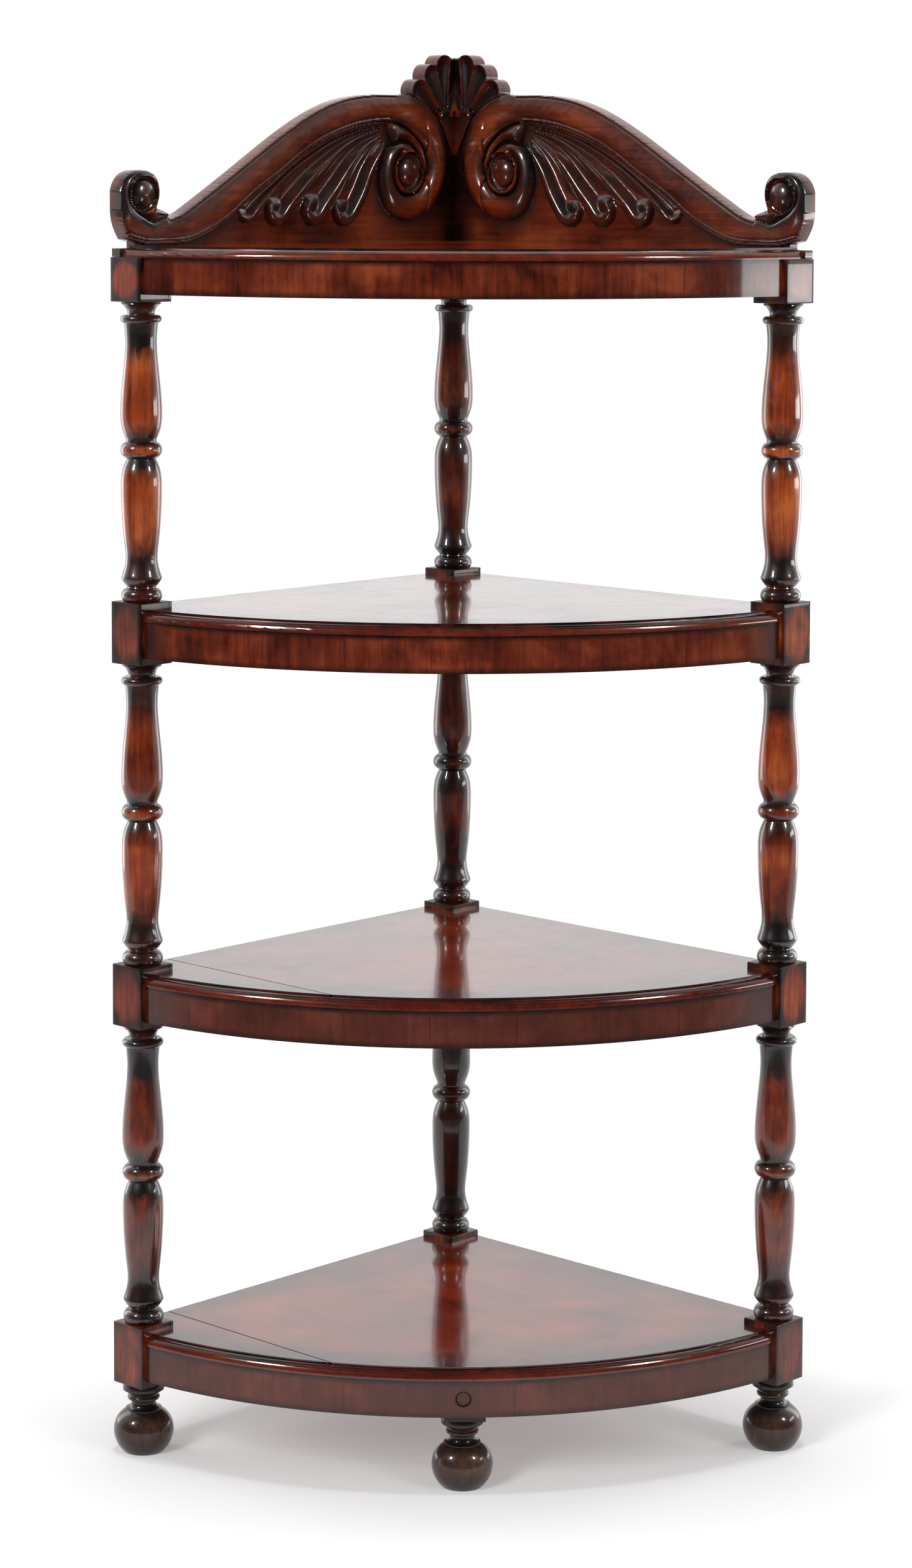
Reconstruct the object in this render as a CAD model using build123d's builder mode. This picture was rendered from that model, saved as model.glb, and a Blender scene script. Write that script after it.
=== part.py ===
from build123d import *
from math import asin, cos, hypot, radians, sin, sqrt
import os

os.makedirs("parts", exist_ok=True)

# A corner whatnot in polished mahogany: four quarter-round shelves on turned posts,
# with a carved pediment in two halves on the top board. Lengths are in millimetres.
# Up is +Z, the bowed front faces -Y and the right angle of the corner is at +Y.
# Plans are drawn in the corner frame: x runs along the left wall, y along the right wall.

# Plan of every tier
wall_length = 485.0       # from the corner to the outer end of a front block
block_side = 42.0         # square of every corner block
lip_setback = 3.0         # a shelf's front lip, behind the outer faces of the blocks

# Heights of the shelf surfaces above the floor
bottom_surface = 123.5
tier_spacing = 359.0
top_spacing = 354.0

# Shelf boards and their moulded front edge
shelf_thickness = 11.0
edge_setback = 9.0        # top edge of the moulding, behind the lip
quirk_drop = 2.0          # small upright step under the top edge
quirk_width = 1.0
lip_height = 1.5
strip_width = 73.0        # narrow board jointed to the wide one at the left post

# Corner blocks
block_stand = 6.5         # blocks stand this far above the three lower shelves
block_drop = 54.5         # and reach this far below each surface

# Bowed friezes with upright-grained veneer, and the straight rails along the walls
frieze_height = 36.0
frieze_thickness = 18.0
lip_overhang = 1.0
veneer_thickness = 1.0
rail_thickness = 18.0

# Joints
joint_gap = 0.15          # glue line between shoulders and faces
notch_gap = 0.3           # round the blocks that pass through a shelf
overrun = 2.0             # how far a cut or a joined piece runs past its face
tenon_drop = 15.0         # top of the rail tenons below the shelf surface
tenon_height = 18.0
tenon_length = 10.0
tenon_thickness = 8.0
tenon_inset = 5.0         # from the outer face of a rail, or the inner one of a frieze
post_tenon_radius = 9.0
post_tenon_length = 19.0
socket_end_gap = 1.0

# Turned posts
post_radius = 20.5

# Ball feet
ball_radius = 29.8

# Front foot: its block hangs behind the bottom frieze, held by a screw under a plug
foot_block_width = 44.0
foot_block_front = 11.0   # behind the lip
foot_chip = 7.0           # broken lower left corner
foot_block_clearance = 0.8
plug_radius = 6.9
plug_hole_radius = 7.3
plug_length = 8.0
plug_recess = 1.2
plug_rounding = 0.8
screw_head_radius = 4.5
screw_radius = 2.2
screw_length = 34.0
screw_head_height = 3.0
screw_gap = 0.2

# Pediment
panel_setback = 2.5       # behind the outer faces of the blocks
panel_thickness = 11.5
relief_height = 6.0
feather_height = 4.5
shell_thickness = 7.5
pediment_height = 206.5
base_step = 8.5           # height of the square foot of each panel end
lobe_radius = 13.0
calyx_radius = 8.0
large_scroll_radius = 79.4
small_scroll_radius = 30.7
large_boss_radius = 13.5
small_boss_radius = 15.0
boss_height = 7.0
eye_margin = 4.5          # sunk ring round each boss
eye_depth = 5.0
large_eye_share = (0.180, 0.406)
small_eye_share = (0.943, 0.296)
dowel_radius = 2.5
dowel_length = 30.0
dowel_gap = 0.1
dowel_place_shares = (0.21, 0.50, 0.79)

# What follows from the sizes above
lip_radius = wall_length - lip_setback   # struck from the corner
strip_start = wall_length - strip_width
corner_y = lip_radius / 2
half_block = block_side / 2
post_reach = wall_length - half_block
frieze_radius = lip_radius - lip_overhang
core_radius = frieze_radius - veneer_thickness - joint_gap
core_inner_radius = core_radius - frieze_thickness
tier_names = ("bottom", "middle", "upper", "top")
lower_surfaces = [bottom_surface + k * tier_spacing for k in range(3)]
surfaces = dict(zip(tier_names, lower_surfaces + [lower_surfaces[-1] + top_spacing]))
post_places = {
    "left": (post_reach, half_block),
    "right": (half_block, post_reach),
    "back": (half_block, half_block),
}


def corner_frame(z):
    """Level plane with its origin over the corner, x on the left wall, y on the right."""
    return Plane(origin=(0, corner_y, z), x_dir=(-1, -1, 0), z_dir=(0, 0, 1))


def turning_plane(place, z):
    """Upright plane whose y axis is the axis of a turned piece standing at a place."""
    foot = corner_frame(z).from_local_coords((place[0], place[1], 0))
    return Plane(origin=foot, x_dir=(1, 0, 0), z_dir=(0, -1, 0))


def wall_rectangle(z, x_min, x_max, y_min, y_max):
    """Level rectangle in the corner frame, given by its four sides."""
    with BuildSketch(corner_frame(z)) as shape:
        with Locations(((x_min + x_max) / 2, (y_min + y_max) / 2)):
            Rectangle(x_max - x_min, y_max - y_min)
    return shape.sketch


def save(part, name):
    part.label = name
    export_step(part, f"parts/{name}.step")


def block_levels(tier):
    """Bottom and top of the corner blocks of a tier."""
    top = surfaces[tier] + block_stand
    if tier == "top":
        top = surfaces[tier] - shelf_thickness - joint_gap
    return surfaces[tier] - block_drop, top


def frieze_levels(tier):
    """Bottom and top of the friezes and rails of a tier."""
    top = surfaces[tier] - shelf_thickness - joint_gap
    return surfaces[tier] - shelf_thickness - frieze_height, top


def tenon_levels(tier, gap=0.0):
    top = surfaces[tier] - tenon_drop
    return top - tenon_height - gap, top + gap


def tenon_plans(gap, depth):
    """Plans of the tenons that enter the left, right and back blocks, as x and y ranges.

    The same ranges, widened by a gap, give the mortises."""
    inner = block_side + joint_gap + overrun
    rail = (tenon_inset - gap, tenon_inset + tenon_thickness + gap)
    frieze_start = sqrt(core_inner_radius ** 2 - block_side ** 2) + tenon_inset
    frieze = (frieze_start - gap, frieze_start + tenon_thickness + gap)
    from_corner = (wall_length - inner, wall_length - block_side + depth)
    into_corner = (block_side - depth, inner)
    return {
        "left": [(from_corner, rail), (frieze, into_corner)],
        "right": [(rail, from_corner), (into_corner, frieze)],
        "back": [(into_corner, rail), (rail, into_corner)],
    }


def corner_block(tier, post):
    """Square block with sockets for the turned pieces and mortises for the rails."""
    bottom, top = block_levels(tier)
    x, y = post_places[post]
    low, high = tenon_levels(tier, joint_gap)
    with BuildPart() as block:
        with BuildSketch(corner_frame(bottom)):
            with Locations((x, y)):
                Rectangle(block_side, block_side)
        extrude(amount=top - bottom)
        with BuildSketch(corner_frame(bottom)):
            with Locations((x, y)):
                Circle(post_tenon_radius + joint_gap)
        extrude(amount=post_tenon_length + socket_end_gap, mode=Mode.SUBTRACT)
        if tier != "top":
            with BuildSketch(corner_frame(top)):
                with Locations((x, y)):
                    Circle(post_tenon_radius + joint_gap)
            extrude(amount=-post_tenon_length - socket_end_gap, mode=Mode.SUBTRACT)
        for x_range, y_range in tenon_plans(joint_gap, tenon_length + socket_end_gap)[post]:
            extrude(wall_rectangle(low, *x_range, *y_range), amount=high - low, mode=Mode.SUBTRACT)
    return block.part


def edge_waste(surface):
    """Section of what the front moulding takes off the square edge of a board."""
    upright = Plane(origin=(0, corner_y, surface), x_dir=(1, 0, 0), z_dir=(0, -1, 0))
    top_edge = lip_radius - edge_setback
    round_top = top_edge + quirk_width
    lip_top = lip_height - shelf_thickness
    bulge_share = sqrt(0.5)
    outside = lip_radius + overrun
    middle = (
        round_top + (lip_radius - round_top) * bulge_share,
        lip_top + (-quirk_drop - lip_top) * bulge_share,
    )
    with BuildSketch(upright) as waste:
        with BuildLine():
            Polyline((outside, lip_top), (outside, overrun), (top_edge, overrun),
                     (top_edge, -quirk_drop), (round_top, -quirk_drop))
            ThreePointArc((round_top, -quirk_drop), middle, (lip_radius, lip_top))
            Line((lip_radius, lip_top), (outside, lip_top))
        make_face()
    return waste.sketch


def quarter_plan(z, back_edge=0.0):
    """Quarter-round plan; the two straight edges can stand in from the walls."""
    with BuildSketch(corner_frame(z)) as plan:
        Circle(lip_radius)
        middle = back_edge + lip_radius / 2
        with Locations((middle, middle)):
            Rectangle(lip_radius, lip_radius, mode=Mode.INTERSECT)
    return plan.sketch


def shelf_board(tier, x_from=None, x_to=None):
    """Quarter-round board notched round the blocks, whole or cut along one joint."""
    surface = surfaces[tier]
    under = surface - shelf_thickness
    corner_axis = Axis((0, corner_y, 0), (0, 0, 1))
    back_edge = panel_setback + panel_thickness + joint_gap if tier == "top" else 0.0
    with BuildPart() as board:
        extrude(quarter_plan(under, back_edge), amount=shelf_thickness)
        if tier != "top":
            with BuildSketch(corner_frame(under)):
                with Locations(*post_places.values()):
                    Rectangle(block_side + 2 * notch_gap, block_side + 2 * notch_gap)
            extrude(amount=shelf_thickness, mode=Mode.SUBTRACT)
        revolve(edge_waste(surface), axis=corner_axis, mode=Mode.SUBTRACT)
        if x_from is not None:
            away = wall_rectangle(under, -overrun, x_from, -overrun, lip_radius + overrun)
            extrude(away, amount=shelf_thickness, mode=Mode.SUBTRACT)
        if x_to is not None:
            away = wall_rectangle(under, x_to, lip_radius + overrun, -overrun, lip_radius)
            extrude(away, amount=shelf_thickness, mode=Mode.SUBTRACT)
    return board.part


def bowed_plan(z, outer, inner):
    """Curved strip between the two front blocks."""
    start = block_side + joint_gap
    with BuildSketch(corner_frame(z)) as plan:
        Circle(outer)
        Circle(inner, mode=Mode.SUBTRACT)
        with Locations((start + outer / 2, start + outer / 2)):
            Rectangle(outer, outer, mode=Mode.INTERSECT)
    return plan.sketch


def frieze(tier):
    """Bowed core of the frieze, with a stub tenon at each end."""
    bottom, top = frieze_levels(tier)
    low, high = tenon_levels(tier)
    plans = tenon_plans(0.0, tenon_length)
    with BuildPart() as core:
        extrude(bowed_plan(bottom, core_radius, core_inner_radius), amount=top - bottom)
        for x_range, y_range in (plans["left"][1], plans["right"][1]):
            extrude(wall_rectangle(low, *x_range, *y_range), amount=high - low)
        if tier == "bottom":
            bore_front_fixing()
    return core.part


def veneer(tier):
    bottom, top = frieze_levels(tier)
    with BuildPart() as sheet:
        extrude(bowed_plan(bottom, frieze_radius, frieze_radius - veneer_thickness),
                amount=top - bottom)
        if tier == "bottom":
            bore_front_fixing()
    return sheet.part


def rail(tier, wall):
    """Straight rail along one wall, tenoned into the front and back blocks."""
    bottom, top = frieze_levels(tier)
    low, high = tenon_levels(tier)
    start = block_side + joint_gap
    end = wall_length - block_side - joint_gap
    plans = tenon_plans(0.0, tenon_length)
    spans = {"left": ((start, end), (0, rail_thickness)), "right": ((0, rail_thickness), (start, end))}
    tenons = {"left": (plans["left"][0], plans["back"][0]), "right": (plans["right"][0], plans["back"][1])}
    with BuildPart() as bar:
        x_range, y_range = spans[wall]
        extrude(wall_rectangle(bottom, *x_range, *y_range), amount=top - bottom)
        for x_range, y_range in tenons[wall]:
            extrude(wall_rectangle(low, *x_range, *y_range), amount=high - low)
        if tier == "top":
            for place in dowel_places(wall):
                with BuildSketch(corner_frame(top)):
                    with Locations(place):
                        Circle(dowel_radius + dowel_gap)
                extrude(amount=-dowel_length / 2 - dowel_gap, mode=Mode.SUBTRACT)
    return bar.part


def dowel_places(wall):
    """Where the pediment's dowels stand, in the corner frame."""
    middle = panel_setback + panel_thickness / 2
    along = [share * wall_length for share in dowel_place_shares]
    return [(a, middle) if wall == "left" else (middle, a) for a in along]


# Turned post, as shares of its length from the top shoulder and of its greatest radius
flange_shares = ((0.0, 0.93), (0.0065, 0.96))
top_cove_shares = ((0.0065, 0.96), (0.018, 0.76), (0.038, 0.65))
top_bead_shares = ((0.045, 0.68), (0.059, 0.99), (0.0703, 0.82))
upper_vase_shares = (
    (0.0735, 0.81), (0.120, 0.755), (0.200, 0.81), (0.290, 0.94), (0.365, 1.0),
    (0.420, 0.93), (0.4577, 0.73),
)
middle_bead_shares = ((0.466, 0.74), (0.493, 1.0), (0.520, 0.74))
lower_vase_shares = (
    (0.5242, 0.70), (0.552, 0.87), (0.622, 0.98), (0.710, 0.94), (0.800, 0.83),
    (0.870, 0.78), (0.9195, 0.975),
)
ogee_shares = ((0.9225, 0.975), (0.940, 0.83), (0.951, 0.685))
base_torus_shares = ((0.954, 0.70), (0.9788, 0.98), (1.0, 0.86))


def turned_post(stage, post):
    """Vase-turned post between the blocks of two tiers, with a round tenon at each end."""
    lower, upper = tier_names[stage], tier_names[stage + 1]
    foot = block_levels(lower)[1] + joint_gap
    length = block_levels(upper)[0] - joint_gap - foot
    plane = turning_plane(post_places[post], foot)

    def at(station_share, radius_share):
        return post_radius * radius_share, length * (1 - station_share)

    with BuildPart() as turning:
        with BuildSketch(plane):
            with BuildLine():
                Polyline((0, length + post_tenon_length), (post_tenon_radius, length + post_tenon_length),
                         (post_tenon_radius, length), at(*flange_shares[0]), at(*flange_shares[1]))
                ThreePointArc(*[at(*pair) for pair in top_cove_shares])
                Line(at(*top_cove_shares[-1]), at(*top_bead_shares[0]))
                ThreePointArc(*[at(*pair) for pair in top_bead_shares])
                Line(at(*top_bead_shares[-1]), at(*upper_vase_shares[0]))
                Spline(*[at(*pair) for pair in upper_vase_shares])
                Line(at(*upper_vase_shares[-1]), at(*middle_bead_shares[0]))
                ThreePointArc(*[at(*pair) for pair in middle_bead_shares])
                Line(at(*middle_bead_shares[-1]), at(*lower_vase_shares[0]))
                Spline(*[at(*pair) for pair in lower_vase_shares])
                Line(at(*lower_vase_shares[-1]), at(*ogee_shares[0]))
                ThreePointArc(*[at(*pair) for pair in ogee_shares])
                Line(at(*ogee_shares[-1]), at(*base_torus_shares[0]))
                ThreePointArc(*[at(*pair) for pair in base_torus_shares])
                Polyline(at(*base_torus_shares[-1]), (post_tenon_radius, 0),
                         (post_tenon_radius, -post_tenon_length), (0, -post_tenon_length),
                         (0, length + post_tenon_length))
            make_face()
        revolve(axis=Axis(plane.origin, (0, 0, 1)))
    return turning.part


# Ball foot, as shares of its height from the floor and of the ball's radius
foot_base_share = 0.67
ball_middle_share = 0.318
ball_low_shares = (0.145, 0.916)
ball_high_shares = ((0.318, 1.0), (0.50, 0.872), (0.609, 0.594))
collar_shares = ((0.623, 0.594), (0.66, 0.445), (0.72, 0.396))
foot_ring_shares = ((0.745, 0.42), (0.775, 0.535), (0.808, 0.52))
cup_shares = ((0.815, 0.50), (0.865, 0.57), (0.90, 0.69))
cup_edge_share = 0.945
foot_top_share = 0.65


def ball_foot(place):
    """Turned ball foot, flat underneath, with its tenon in the block above."""
    height = surfaces["bottom"] - block_drop - joint_gap
    plane = turning_plane(place, 0)

    def at(height_share, radius_share):
        return ball_radius * radius_share, height * height_share

    with BuildPart() as turning:
        with BuildSketch(plane):
            with BuildLine():
                Line((0, 0), at(0, foot_base_share))
                ThreePointArc(at(0, foot_base_share), at(*ball_low_shares), at(ball_middle_share, 1))
                Spline(*[at(*pair) for pair in ball_high_shares], tangents=((0, 1), (-0.85, 0.52)))
                Line(at(*ball_high_shares[-1]), at(*collar_shares[0]))
                ThreePointArc(*[at(*pair) for pair in collar_shares])
                Line(at(*collar_shares[-1]), at(*foot_ring_shares[0]))
                ThreePointArc(*[at(*pair) for pair in foot_ring_shares])
                Line(at(*foot_ring_shares[-1]), at(*cup_shares[0]))
                ThreePointArc(*[at(*pair) for pair in cup_shares])
                Polyline(at(*cup_shares[-1]), at(cup_edge_share, cup_shares[-1][1]),
                         at(1, foot_top_share), (post_tenon_radius, height),
                         (post_tenon_radius, height + post_tenon_length),
                         (0, height + post_tenon_length), (0, 0))
            make_face()
        revolve(axis=Axis(plane.origin, (0, 0, 1)))
    return turning.part


# The front foot stands on the middle line, under the bowed frieze
front_foot_depth = lip_radius - foot_block_front - foot_block_width / 2
front_foot_place = (front_foot_depth * cos(radians(45)), front_foot_depth * sin(radians(45)))
plug_z = surfaces["bottom"] - shelf_thickness - frieze_height / 2
plug_face = frieze_radius - plug_recess


def front_plane(radius):
    """Upright plane across the middle line, facing the front, at a distance from the corner."""
    return Plane(origin=(0, corner_y - radius, plug_z), x_dir=(1, 0, 0), z_dir=(0, -1, 0))


def front_cylinder(radius, near, far):
    """Round bar along the middle line between two distances from the corner."""
    with BuildPart() as bar:
        with BuildSketch(front_plane(near)):
            Circle(radius)
        extrude(amount=far - near)
    return bar.part


def bore_front_fixing():
    """Counterbore for the plug and clearance for the screw, cut in the piece being made."""
    seat = plug_face - plug_length - screw_head_height - 2 * screw_gap
    add(front_cylinder(plug_hole_radius, seat, lip_radius + overrun), mode=Mode.SUBTRACT)
    add(front_cylinder(screw_radius + screw_gap, core_inner_radius - overrun, seat + overrun),
        mode=Mode.SUBTRACT)


def front_foot_block():
    """Block for the front foot, with a pad under the frieze and a body behind it."""
    bottom = surfaces["bottom"] - block_drop
    frieze_bottom, top = frieze_levels("bottom")
    front = lip_radius - foot_block_front
    back = front - foot_block_width
    behind = core_inner_radius - foot_block_clearance
    half_width = foot_block_width / 2
    side = Plane(origin=(-half_width, corner_y, 0), x_dir=(0, -1, 0), z_dir=(1, 0, 0))
    pad_top = frieze_bottom - joint_gap
    screw_end = plug_face - plug_length - screw_gap - screw_length - screw_gap
    with BuildPart() as block:
        with BuildSketch(side):
            with BuildLine():
                Polyline((back, -bottom), (front, -bottom), (front, -pad_top), (behind, -pad_top),
                         (behind, -top), (back, -top), close=True)
            make_face()
        extrude(amount=foot_block_width)
        with BuildSketch(corner_frame(bottom)):
            with Locations(front_foot_place):
                Circle(post_tenon_radius + joint_gap)
        extrude(amount=post_tenon_length + socket_end_gap, mode=Mode.SUBTRACT)
        add(front_cylinder(screw_radius + screw_gap, screw_end, front), mode=Mode.SUBTRACT)
        broken = block.edges().filter_by(Axis.Y).group_by(Axis.Z)[0].sort_by(Axis.X)[0]
        chamfer(broken, foot_chip)
    return block.part


def foot_plug():
    """Wooden plug that covers the screw head."""
    with BuildPart() as plug:
        with BuildSketch(front_plane(plug_face)):
            Circle(plug_radius)
        extrude(amount=-plug_length)
        fillet(plug.edges().sort_by(Axis.Y)[0], plug_rounding)
    return plug.part


def foot_screw():
    """Round-headed wood screw from the frieze into the foot block."""
    head_front = plug_face - plug_length - screw_gap
    neck = head_front - screw_head_height
    with BuildPart() as screw:
        with BuildSketch(front_plane(head_front)):
            Circle(screw_head_radius)
        extrude(amount=-screw_head_height)
        with BuildSketch(front_plane(neck)):
            Circle(screw_radius)
        extrude(amount=screw_head_height - screw_length)
    return screw.part


# Pediment outlines. Places on a panel are shares of its length from the corner and of
# its height; turns of a scroll are an angle in degrees and a share of the scroll's radius.
panel_base = surfaces["top"] - shelf_thickness
band_top_shares = (
    (0.8728, 0.1768), (0.8419, 0.1995), (0.8076, 0.2412), (0.7045, 0.3816), (0.6014, 0.5269),
    (0.4984, 0.6596), (0.3953, 0.7530), (0.2922, 0.7884), (0.2233, 0.7903),
)
band_under_shares = (
    (0.2440, 0.6480), (0.2922, 0.6402), (0.3608, 0.6111), (0.4295, 0.5593), (0.4984, 0.4818),
    (0.5670, 0.3816), (0.6289, 0.3012), (0.7045, 0.1801), (0.7732, 0.1041), (0.8282, 0.0654),
    (0.8763, 0.0591), (0.9381, 0.0591),
)
ground_top_shares = (
    (0.0, 0.800), (0.125, 0.800), (0.165, 0.730), (0.292, 0.712), (0.395, 0.672), (0.498, 0.570), (0.601, 0.432),
    (0.704, 0.281), (0.808, 0.160), (0.873, 0.118), (0.961, 0.116),
)
large_turn_shares = (
    (75, 1.034), (90, 1.0), (101, 0.955), (114, 0.916), (127, 0.880), (142, 0.820),
    (158, 0.782), (173, 0.738), (190, 0.692), (210, 0.650), (232, 0.630), (262, 0.625),
    (283, 0.630), (304, 0.625), (323, 0.594), (342, 0.563), (358, 0.538), (376, 0.518),
    (395, 0.503), (410, 0.477),
)
small_turn_shares = (
    (-66, 1.577), (-48, 1.335), (-20, 1.062), (9, 0.985), (36, 0.915), (64, 0.815),
    (90, 0.749), (129, 0.743), (174, 0.664), (220, 0.694),
)
leaf_share = (0.8763, 0.2034)
lobe_place_shares = ((0.0722, 0.9370), (0.1093, 0.8886), (0.1464, 0.8111))
lobe_root_share = (0.0598, 0.6707)
calyx_place_share = (0.0722, 0.6828)
crest_strip_share = (0.0619, 0.9850)
stem_share = (0.0454, 0.4843)
knuckle_place_share = (0.2474, 0.6150)
knuckle_radius = 8.0

# Each feather: its middle line as shares of the panel, and its half width there
feather_lines = (
    ((0.252, 0.6450), (0.327, 0.6300), (0.396, 0.5780), (0.464, 0.5000), (0.533, 0.3950),
     (0.588, 0.2880), (0.624, 0.2330), (0.644, 0.2180), (0.660, 0.2500)),
    ((0.249, 0.6330), (0.313, 0.5930), (0.375, 0.5040), (0.430, 0.3910), (0.471, 0.2860),
     (0.512, 0.2090), (0.555, 0.1900), (0.583, 0.2130), (0.587, 0.2560)),
    ((0.246, 0.6120), (0.292, 0.5630), (0.340, 0.4580), (0.375, 0.3450), (0.402, 0.2500),
     (0.430, 0.1900), (0.452, 0.1770), (0.476, 0.2010), (0.484, 0.2560)),
    ((0.240, 0.5880), (0.262, 0.5440), (0.286, 0.4400), (0.296, 0.3450), (0.306, 0.2660),
     (0.327, 0.2100), (0.354, 0.1920), (0.378, 0.2130), (0.385, 0.2660)),
)
feather_width = 13.0
feather_width_shares = (0.16, 0.28, 0.36, 0.40, 0.44, 0.50, 0.48, 0.38, 0.22)


def on_panel(pair):
    return pair[0] * wall_length, pair[1] * pediment_height


def scroll_points(eye_share, radius, turns, gap=0.0):
    x, y = on_panel(eye_share)
    return [
        (x + (radius * share + gap) * cos(radians(180 - angle)),
         y + (radius * share + gap) * sin(radians(180 - angle)))
        for angle, share in turns
    ]


def mirrored_turns(turns):
    """Turns counted from the corner side, for the scroll at the outer end."""
    return tuple((180 - angle, share) for angle, share in turns)


def large_scroll_points(gap=0.0):
    turns = mirrored_turns(large_turn_shares)
    return scroll_points(large_eye_share, large_scroll_radius, turns, gap)


def small_scroll_points():
    return scroll_points(small_eye_share, small_scroll_radius, mirrored_turns(small_turn_shares))


def panel_plane():
    """Upright plane behind the right panel: x runs out from the corner, z towards the shelf."""
    wall = Plane(origin=(0, corner_y, panel_base), x_dir=(1, -1, 0), z_dir=(-1, -1, 0))
    return wall.offset(panel_setback)


def face_height(height):
    return panel_plane().offset(height)


def band_outline():
    """S-shaped band with the scroll at each end, as one outline flat on the XY plane."""
    small = small_scroll_points()
    large = large_scroll_points()
    top = [on_panel(pair) for pair in band_top_shares]
    under = [on_panel(pair) for pair in band_under_shares]
    with BuildSketch() as band:
        with BuildLine():
            Spline(*small)
            Polyline(small[-1], on_panel(leaf_share), top[0])
            Spline(*top)
            Line(top[-1], large[0])
            Spline(*large)
            Line(large[-1], under[0])
            Spline(*under, small[0])
        make_face()
    return band.sketch


def panel_face():
    """Outline of the whole panel: the plain ground under the band, the band and the crest."""
    ground = [on_panel(pair) for pair in ground_top_shares]
    with BuildSketch(face_height(0)) as outline:
        with BuildLine():
            Polyline((0, ground[0][1]), (0, 0), (wall_length, 0), (wall_length, base_step), *ground[::-1])
        make_face()
        add(band_outline())
        add(crest_lobes())
    return outline.sketch


def band_face(height):
    with BuildSketch(face_height(height)) as face:
        add(band_outline())
        with Locations(on_panel(knuckle_place_share)):
            Circle(knuckle_radius)
    return face.sketch


def crest_lobes():
    """Three fanned lobes and the strip along the mitre, flat on the XY plane."""
    root = on_panel(lobe_root_share)
    width, top = on_panel(crest_strip_share)
    with BuildSketch() as lobes:
        with Locations((width / 2, (root[1] + top) / 2)):
            Rectangle(width, top - root[1])
        for share in lobe_place_shares:
            x, y = on_panel(share)
            along = hypot(x - root[0], y - root[1])
            across = ((root[1] - y) / along * lobe_radius, (x - root[0]) / along * lobe_radius)
            with Locations((x, y)):
                Circle(lobe_radius)
            with BuildLine():
                Polyline((x + across[0], y + across[1]), root, (x - across[0], y - across[1]), close=True)
            make_face()
    return lobes.sketch


def scroll_outline(gap):
    """Outline of the large scroll, widened by a gap, flat on the XY plane."""
    points = large_scroll_points(gap)
    with BuildSketch() as outline:
        with BuildLine():
            Spline(*points)
            Line(points[-1], points[0])
        make_face()
    return outline.sketch


def shell_face(height):
    """Outline of the applied shell: lobes, calyx and stem, kept clear of the large scroll."""
    width, bottom = on_panel(stem_share)
    x, y = on_panel(calyx_place_share)
    with BuildSketch(face_height(height)) as shell:
        add(crest_lobes())
        with BuildLine():
            Polyline((0, y), (0, bottom), (width, bottom), (x + calyx_radius, y), close=True)
        make_face()
        with Locations((x, y)):
            Circle(calyx_radius)
        add(scroll_outline(notch_gap), mode=Mode.SUBTRACT)
    return shell.sketch


def feather_outline(line):
    """Tapered feather that ends in a hook, drawn round its middle line on the XY plane."""
    middle = [on_panel(pair) for pair in line]
    left, right = [], []
    for k, (x, y) in enumerate(middle):
        before, after = middle[max(k - 1, 0)], middle[min(k + 1, len(middle) - 1)]
        along = hypot(after[0] - before[0], after[1] - before[1])
        half = feather_width * feather_width_shares[k]
        across = ((before[1] - after[1]) / along * half, (after[0] - before[0]) / along * half)
        left.append((x + across[0], y + across[1]))
        right.append((x - across[0], y - across[1]))
    with BuildSketch() as feather:
        with BuildLine():
            Spline(*left)
            Line(left[-1], right[-1])
            Spline(*right)
            Line(right[0], left[0])
        make_face()
    return feather.sketch


def feathers_face(height):
    with BuildSketch(face_height(height)) as feathers:
        for line in feather_lines:
            add(feather_outline(line))
    return feathers.sketch


def boss_section(eye_share, radius):
    """Half section of a low dome, standing in its sunk eye."""
    x, y = on_panel(eye_share)
    floor = panel_thickness + relief_height - eye_depth
    centre = panel_plane().from_local_coords((x, y, floor))
    upright = Plane(origin=centre, x_dir=(0, 0, 1), z_dir=(1, -1, 0))
    sphere_radius = (radius ** 2 + boss_height ** 2) / (2 * boss_height)
    half_angle = asin(radius / sphere_radius) / 2
    middle = (sphere_radius * sin(half_angle), boss_height - sphere_radius * (1 - cos(half_angle)))
    with BuildSketch(upright) as section:
        with BuildLine():
            Polyline((0, boss_height), (0, -overrun), (radius, -overrun), (radius, 0))
            ThreePointArc((radius, 0), middle, (0, boss_height))
        make_face()
    return section.sketch, Axis(centre, (-1, -1, 0))


def right_pediment():
    """Right half of the pediment: panel, raised band and scrolls, feathers and bosses."""
    with BuildPart() as panel:
        extrude(panel_face(), amount=panel_thickness)
        extrude(band_face(panel_thickness), amount=relief_height)
        extrude(feathers_face(panel_thickness), amount=feather_height)
        for eye_share, radius in ((large_eye_share, large_boss_radius), (small_eye_share, small_boss_radius)):
            with BuildSketch(face_height(panel_thickness + relief_height)):
                with Locations(on_panel(eye_share)):
                    Circle(radius + eye_margin)
            extrude(amount=-eye_depth, mode=Mode.SUBTRACT)
            section, axis = boss_section(eye_share, radius)
            revolve(section, axis=axis)
        for place in dowel_places("right"):
            with BuildSketch(corner_frame(panel_base)):
                with Locations(place):
                    Circle(dowel_radius + dowel_gap)
            extrude(amount=dowel_length / 2 + dowel_gap, mode=Mode.SUBTRACT)
        split(bisect_by=Plane.YZ.offset(joint_gap / 2), keep=Keep.TOP)
    return panel.part


def right_shell():
    """Right half of the applied shell, mitred on the middle line."""
    with BuildPart() as shell:
        extrude(shell_face(panel_thickness + joint_gap), amount=shell_thickness)
        split(bisect_by=Plane.YZ.offset(joint_gap / 2), keep=Keep.TOP)
    return shell.part


def mirrored(part):
    with BuildPart() as other:
        mirror(part, about=Plane.YZ)
    return other.part


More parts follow.
